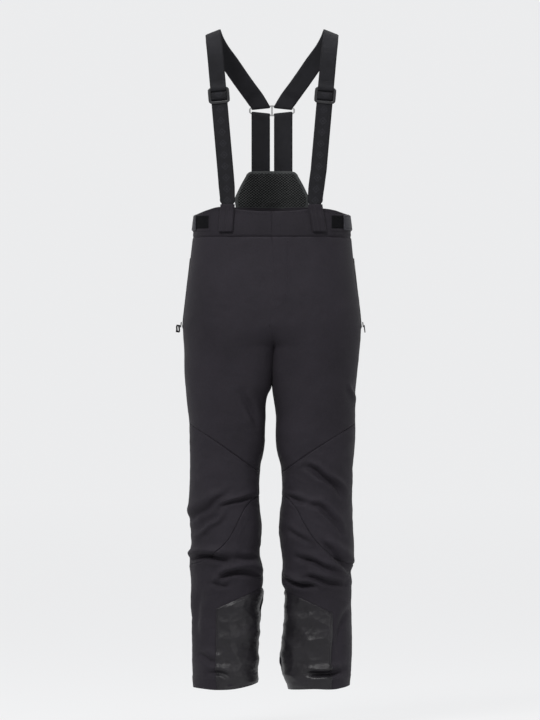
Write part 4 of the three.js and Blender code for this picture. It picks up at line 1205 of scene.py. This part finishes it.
def make_straps():
    """The straps of each side, from the waistband over the shoulder to the ring and down."""
    for word, side in SIDES:
        top, behind = slanted(side, SHOULDER_SLANT), slanted(side, BACK_SLANT)
        front = slanted(side, STRAP_LEAN)
        shoulder = [
            (28, MAIN_Y + 8, -33, front, 36), (30.5, MAIN_Y + 25, -14, top, 36),
            (31.5, MAIN_Y + 51, -3, top, 36), (31.5, MAIN_Y + 79, 0, top, 36),
            (29.5, RING_Y - 106, -4, top, 36), (25, RING_Y - 78, -15, top, 36),
            (14, RING_Y - 50, -36, behind, 38), (-6.5, RING_Y - 28, -65, behind, 40),
            (-29.5, RING_Y - 14, -98, behind, 40), (-53.5, RING_Y - 7, -131, behind, 40),
        ]
        over = [(flipped(side, STRAP_X + x, y, SHOULDER_HEIGHT + z), wide, width)
                for x, y, z, wide, width in shoulder]
        slant = [slant_station(side, -LOOP_RADIUS, rise) for rise in (22, 12, 5)]
        tail = [slant_station(side, LOOP_RADIUS, rise) for rise in (5, 14, 26)]
        stations = [*front_run(side, 0, MAIN_Y, STRAIGHT_TO), *over, *slant, *rod_turn(side, 1), *tail]
        main = ribbon_object(f"{word}_shoulder_strap_webbing", stations, "webbing")
        finish(main, "strap_webbing", f"{word}_shoulder_strap")
        back = ribbon_object(f"{word}_strap_return_webbing",
                             front_run(side, 1, RETURN_Y, BUCKLE_HEIGHT), "front_webbing")
        finish(back, "front_webbing", f"{word}_strap_return")

        sewn_y = 101.7 + 0.3 + STRAP_THICK / 2
        wide = flipped(side, 1, 0, 0)
        run = [(flipped(side, RING_X, sewn_y, z), wide, RING_STRAP_WIDTH) for z in (69, 85, 99, 120)]
        mids = [(flipped(side, RING_X, lerp(sewn_y, RING_Y - LOOP_RADIUS, share), lerp(120, 210, share)),
                 wide, RING_STRAP_WIDTH)
                for share in (0.33, 0.66, 1)]
        low_rod = RING_HEIGHT - ROD_CENTRE
        tail = [(flipped(side, RING_X, RING_Y + LOOP_RADIUS - rise / 14, low_rod - rise),
                 wide, RING_STRAP_WIDTH - 1.5)
                for rise in (8, 18, 30)]
        lower = ribbon_object(f"{word}_back_strap_webbing",
                              [*run, *mids, *rod_turn(side, -1), *tail], "webbing")
        finish(lower, "strap_webbing", f"{word}_back_strap")
        make_loop(word, side)
        make_buckle(word, side)


def make_loop(word, side):
    """The fabric loop that holds both layers on the waistband."""
    half, roof = 16.5, 5.6
    shares = np.linspace(-1, 1, 41)
    heights = np.linspace(LOOP_BOTTOM, LOOP_TOP, 44)
    outer, inner = [], []
    for z in heights:
        point, wide, normal = anchor(side, z, 0)
        bow = 1.2 * noise(np.array(z / 18), np.array(0.3), 61)
        end = min(z - LOOP_BOTTOM, LOOP_TOP - z)
        row_out, row_in = [], []
        for share in shares:
            lift = roof * (1 - abs(share) ** 7) ** 0.5
            fold = 0.45 * math.sin(share * 11 + 2.5 * side) * (1 - share**2) + 0.3 * float(
                noise(np.array(share * 4), np.array(z / 14), 63 + side))
            lift = max(lift + fold, 0.5) + 0.5 * min(end / 3, 1)
            row_out.append(point + wide * (share * half + 0.2 * bow) + normal * lift)
            row_in.append(point + wide * (share * (half - 1.3)) + normal * max(lift - 1.3, 0.1))
        outer.append(row_out)
        inner.append(row_in)
    outer, inner = np.array(outer), np.array(inner)
    made = closed_object(f"{word}_strap_loop_cloth", outer, inner, ["waistband"])
    finish(round_edges(made, 0.35, 50), "waistband_fabric", f"{word}_strap_loop")


def make_buckle(word, side):
    """The slide buckle's frame, posts and bar, and the webbing wrapped round its bars."""
    wide = slanted(side, STRAP_LEAN)
    up = flipped(side, math.sin(STRAP_LEAN), 0, math.cos(STRAP_LEAN))
    centre = flipped(side, strap_line_x(BUCKLE_HEIGHT), 0, BUCKLE_HEIGHT)

    def station(y, rise, width=35.0):
        return (centre + up * rise + np.array([0, y, 0]), wide, width)

    wrap = [station(-107.3, -9.0), station(-108.9, -8.2), station(-109.6, -5.5), station(-109.8, 0),
            station(-109.6, 4.0), station(-108.8, 6.4), station(-107.3, 7.2)]
    band = ribbon_object(f"{word}_buckle_wrap_webbing", wrap, "front_webbing", step=1.0)
    finish(band, "front_webbing", body=f"{word}_slide_buckle")
    over = [station(-107.4, 10.0), station(-109.4, 11.4), station(-110.3, 14.5), station(-110.0, 18.5),
            station(-108.6, 22.5), station(-107.4, 27), station(-107.0, 32, 34.0)]
    cover = ribbon_object(f"{word}_buckle_cover_webbing", over, "webbing", step=1.0)
    finish(cover, "strap_webbing", body=f"{word}_slide_buckle")

    frame_path = []
    for step in range(72):
        turn = step / 72 * 2 * math.pi
        a, b = math.cos(turn), math.sin(turn)
        reach = (abs(a) ** 7 + abs(b) ** 7) ** (-1 / 7)
        frame_path.append(centre + wide * a * reach * 20.9 + up * b * reach * 15.6
                          + np.array([0, -107.4, 0]))
    rim = tube_object(f"{word}_slide_buckle_frame", np.array(frame_path), 3.1, "plastic", 14, depth=1.35)
    finish(rim, "buckle_plastic", f"{word}_slide_buckle", body=f"{word}_slide_buckle")
    depthwise = np.array([0.0, 1.0, 0.0])
    for end, sign in (("inner", -1), ("outer", 1)):
        post = [(centre + wide * sign * 21.4 + up * rise + depthwise * -104.0, depthwise, 7.8)
                for rise in (-14, -5, 5, 14)]
        made = ribbon_object(f"{word}_slide_buckle_{end}_post", post, "plastic", thickness=4.4)
        finish(made, "buckle_plastic", body=f"{word}_slide_buckle")
    bar = [(centre + wide * a + depthwise * -101.1, up, 5.0) for a in (-21, -7, 7, 21)]
    made = ribbon_object(f"{word}_slide_buckle_bar", bar, "plastic", thickness=2.3)
    finish(made, "buckle_plastic", body=f"{word}_slide_buckle")


# ---- Mesh back panel ---------------------------------------------------------------------------

PIT_PITCH = 7.4
PANEL_LOW, PANEL_HIGH = 8.3, 95
PANEL_FRONT_Y, PANEL_BACK_Y = 99.3, 100.2


# Half width of the panel by height: a trapezium with rounded top corners.
panel_half_width = through((8, 81), (20, 83.5), (34, 84), (46, 79), (82, 60), (90, 55), (93.5, 49),
                           (95, 42))


def make_mesh_panel():
    """The knitted panel on the back of the waistband, with real pits on its inner face."""
    rows, columns = 150, 260
    z = lerp(PANEL_LOW, PANEL_HIGH, crowded(rows, 0.35))[:, None]
    share = crowded(columns, 0.2)[None, :] * 2 - 1
    x = share * panel_half_width(z)
    ends = np.minimum(z - PANEL_LOW, PANEL_HIGH - z) + 1.0
    edge = np.minimum(panel_half_width(z) - np.abs(x), ends)
    body = smooth(edge / 9)
    u, v = x / PIT_PITCH, z / (PIT_PITCH * 0.8)
    pit = np.maximum(dome(u, v), dome(u + 0.5, v + 0.5)) * smooth((edge - 6) / 1.5)
    front_y = PANEL_FRONT_Y - 3.2 * body - 0.9 * noise(x / 30, z / 24, 71) * body + 1.1 * pit
    binding = np.exp(-(((edge - 2.5) / 2.0) ** 2))
    front_y = front_y - 0.7 * binding
    back_y = PANEL_BACK_Y + 1.2 * body
    front = np.stack([x, front_y, z * np.ones_like(x)], -1)
    back = np.stack([x, back_y, z * np.ones_like(x)], -1)
    made = closed_object("mesh_back_panel_knit", front, back, ["mesh"])
    # The pit attribute carries painted shade for the pits into the mesh's colour; the back face gets
    # none.
    attribute = made.data.attributes.new("pit", "FLOAT", "POINT")
    attribute.data.foreach_set("value", np.concatenate([pit.ravel(), 0 * pit.ravel()]))
    finish(made, "spacer_mesh", "mesh_back_panel")


def dome(u, v):
    """Rounded pits, one in each unit square."""
    du, dv = u - np.round(u), v - np.round(v)
    return smooth(2.0 - 5.4 * np.hypot(du, dv))


# ---- Closure, fly and pockets ------------------------------------------------------------------


ZIP_PITCH = 1.7
FRONT_LEAN, SIDE_LEAN = 14 / 265, 30 / 265  # outward by drop, as the frame has them
FLY_TOP, FLY_BOTTOM = -62, -200


def front_line(z):
    """The frame's straight front line, on which the fly's layers lie."""
    return -100 + FRONT_LEAN * np.minimum(z, 0)


def upright_slab(name, x_range, z_range, depth, thick, look, nodes_replaced, slot, wave=0.3):
    """A flat inner piece behind the front, leaning as the front does."""
    x = np.linspace(*x_range, 24)[None, :]
    z = np.linspace(z_range[1], z_range[0], 60)[:, None]
    y = front_line(z) + depth + wave * noise(x / 9, z / 16, 81)
    outer = np.stack([x * np.ones_like(z), y, z * np.ones_like(x)], -1)
    inner = outer + np.array([0, thick, 0])
    made = closed_object(name, outer, inner, [look])
    return finish(round_edges(made, 0.3), slot, *nodes_replaced)


def zip_teeth(name, centre, aside, up, count):
    """Two interlocking rows of teeth along a line. Centre gives the point at each tooth."""
    points, faces = [], []
    for k in range(count):
        middle = centre(k)
        along = (centre(k + 1) - middle)
        along /= np.linalg.norm(along)
        for sign in (-1, 1):
            shift = along * ZIP_PITCH * 0.25 * sign + aside * sign * 0.9
            low = [middle + shift + along * a + aside * b
                   for a, b in ((-0.55, -1.5), (-0.55, 1.5), (0.55, 1.5), (0.55, -1.5))]
            high = [middle + shift + along * a + aside * b + up * 1.0
                    for a, b in ((-0.36, -1.2), (-0.36, 1.2), (0.36, 1.2), (0.36, -1.2))]
            base = len(points)
            points += low + high
            faces += [tuple(base + c for c in face) for face in BLOCK_FACES]
    made = mesh_object(name, points, faces_out(points, faces), [looks["zip"]])
    set_uv(made, np.array(points)[:, [0, 2]])
    return made


def sew_fly():
    """The curved double row of topstitching that holds the fly's facing."""
    for inset in (0, 3.2):
        drop = np.concatenate([np.linspace(60, 178, 80), 178 + 40 * np.sin(np.linspace(0, 1.45, 40))])
        x = np.concatenate([np.full(80, 36.0 - inset),
                            (36.0 - inset) * np.cos(np.linspace(0, 1.45, 40))])
        drop = drop - inset * 0.6 * (drop > 190)
        points, normals = cloth(1, -drop, angle_at(1, -drop, x))
        sew(points, normals, 0.1)


def make_fly():
    """The layers behind the front: underlap, zip tape, shield and teeth."""
    sew_fly()
    upright_slab("closure_underlap_cloth", (-18, 34), (-57, -2), 5.6, 1.3, "waistband",
                 ["closure_underlap"], "waistband_fabric")
    fly_z = (FLY_BOTTOM, FLY_TOP)
    upright_slab("fly_zip_tape", (-14, 14), fly_z, 10.9, 0.8, "tape", ["fly_zip"], "zip_tape", 0.0)
    upright_slab("fly_shield_cloth", (-17, 17), fly_z, 12.6, 1.3, "lining", ["fly_shield"],
                 "lining_fabric")

    def centre(k):
        z = FLY_TOP - 1.5 - k * ZIP_PITCH
        return np.array([0, float(front_line(np.array(z))) + 11.15, z])

    teeth = zip_teeth("fly_zip_teeth", centre, np.array([1.0, 0, 0]), np.array([0, -1.0, 0]), 79)
    finish(teeth, "zip_metal")


POCKET_TOP, POCKET_BOTTOM, BAG_BOTTOM = 104, 262, 330


def make_pockets():
    for word, side in SIDES:
        z = np.linspace(-POCKET_TOP, -POCKET_BOTTOM, 90)[:, None]
        spread = 12 / 110
        turned = math.pi + np.linspace(-spread, spread, 22)[None, :]
        angle = past_side_seam(turned) * np.ones_like(z)
        points, normals = cloth(side, z * np.ones_like(angle), angle, 0.75)
        tape = sheet_object(f"{word}_pocket_zip_tape", points, normals, "tape", 0.7)
        finish(round_edges(tape, 0.15), "zip_tape", f"{word}_pocket_zip")
        for column in (2, -3):
            sew(points[:, column], normals[:, column])

        def centre(k, side=side):
            z = -POCKET_TOP - 1.5 - k * ZIP_PITCH
            return np.array([side * (172.1 - SIDE_LEAN * z), 0, z])

        teeth = zip_teeth(f"{word}_pocket_zip_teeth", centre, np.array([0, 1.0, 0]),
                          np.array([1.0 * side, 0, 0]), 91)
        finish(teeth, "zip_metal")
        make_puller(word, side)
        make_pocket_bag(word, side)


def make_puller(word, side):
    """A cord loop round the frame's puller, whether it hangs flat or stands off the slider."""
    low, high = (np.array(c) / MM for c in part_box(f"{word}_pocket_puller"))
    stands = (high - low)[0] > 6
    radius = 1.8
    wide = (high - low)[0 if stands else 1] / 2 - radius
    tall = (high - low)[2] / 2 - radius
    middle = (low + high) / 2
    path = []
    for step in range(48):
        turn = step / 48 * 2 * math.pi
        a = wide * np.sign(math.cos(turn)) * abs(math.cos(turn)) ** 0.6 * (0.8 if stands else 1)
        b = tall * np.sign(math.sin(turn)) * abs(math.sin(turn)) ** 0.75
        if stands:
            flat = np.array([a + b * SIDE_LEAN * side * 0.9, 0, b])
        else:
            flat = np.array([-b * 0.113 * side, a, b])
        path.append(middle + flat)
    path = np.array(path)
    made = tube_object(f"{word}_pocket_puller_cord", path, radius, "cord", depth=1.2)
    finish(made, "puller_cord", body=f"{word}_pocket_puller")


def tube_object(name, path, radius, look, sides=10, depth=None):
    """A closed loop of round cord along a path, or of flattened rod with its own depth."""
    along = np.roll(path, -1, 0) - np.roll(path, 1, 0)
    along /= np.linalg.norm(along, axis=1, keepdims=True)
    flat = np.cross(along, np.roll(along, -3, 0)).mean(0)
    flat /= np.linalg.norm(flat)
    outward = np.cross(along, flat)
    rings = []
    for k, point in enumerate(path):
        ring = []
        for step in range(sides):
            turn = step / sides * 2 * math.pi
            aside, rise = math.cos(turn), math.sin(turn)
            if depth:
                aside, rise = (math.copysign(abs(v) ** 0.6, v) for v in (aside, rise))
            ring.append(point + radius * aside * outward[k] + (depth or radius) * rise * flat)
        rings.append(ring)
    points = np.array(rings)
    rows, columns = points.shape[:2]
    faces = []
    for j in range(rows):
        for i in range(columns):
            a, b = j * columns + i, j * columns + (i + 1) % columns
            c, d = ((j + 1) % rows) * columns + (i + 1) % columns, ((j + 1) % rows) * columns + i
            faces.append((a, b, c, d))
    faces = faces_out(points.reshape(-1, 3), faces)
    made = mesh_object(name, points.reshape(-1, 3), faces, [looks[look]])
    set_uv(made, points.reshape(-1, 3)[:, [1, 2]])
    return made


def make_pocket_bag(word, side):
    """A flat bag that hangs inside the front panel."""
    angle = np.linspace(math.radians(100), math.radians(169), 40)[None, :]
    drop = np.linspace(POCKET_TOP, BAG_BOTTOM, 60)[:, None]
    points, normals = cloth(side, -drop, angle * np.ones_like(drop), folds=False)
    bulge = 1.0 * noise(points[..., 0] / 20, points[..., 2] / 24, 91)
    outer = points - normals * (4.6 - 0.4 * bulge)[..., None]
    inner = outer - normals * 1.2
    made = closed_object(f"{word}_pocket_bag_cloth", outer, inner, ["lining"])
    finish(made, "lining_fabric", f"{word}_pocket_bag")


# ---- Hard pieces that stay as the frame has them -----------------------------------------------


def dress(node, look, bevel, segments=3):
    """A better finish and broken edges on a CAD piece."""
    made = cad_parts[node]
    made.data.materials.clear()
    made.data.materials.append(looks[look])
    if bevel:
        edge = made.modifiers.new("broken_edges", "BEVEL")
        edge.width = bevel * MM
        edge.segments = segments
        edge.limit_method = "ANGLE"
        edge.angle_limit = math.radians(32)
        edge.harden_normals = False
    made.data.shade_smooth()


def dress_hardware():
    for word, _ in SIDES:
        dress(f"{word}_pocket_slider", "zip", 0.4)
        dress(f"{word}_pocket_puller", "cord", 0.3)
    dress("back_ring", "ring", 1.1, 4)
    dress("fly_slider", "zip", 0.4)
    dress("fly_puller", "zip", 0.25)
    for name in ("snap_socket_upper", "snap_socket_lower", "snap_stud_upper", "snap_stud_lower"):
        dress(name, "snap", 0.15, 2)


set_camera()
set_floor()
set_light()
make_legs()
make_waistband()
make_guards()
make_gaiters()
make_stitches("root_stitching")
make_adjusters()
make_straps()
make_mesh_panel()
make_fly()
make_pockets()
make_stitches("pocket_stitching")
dress_hardware()
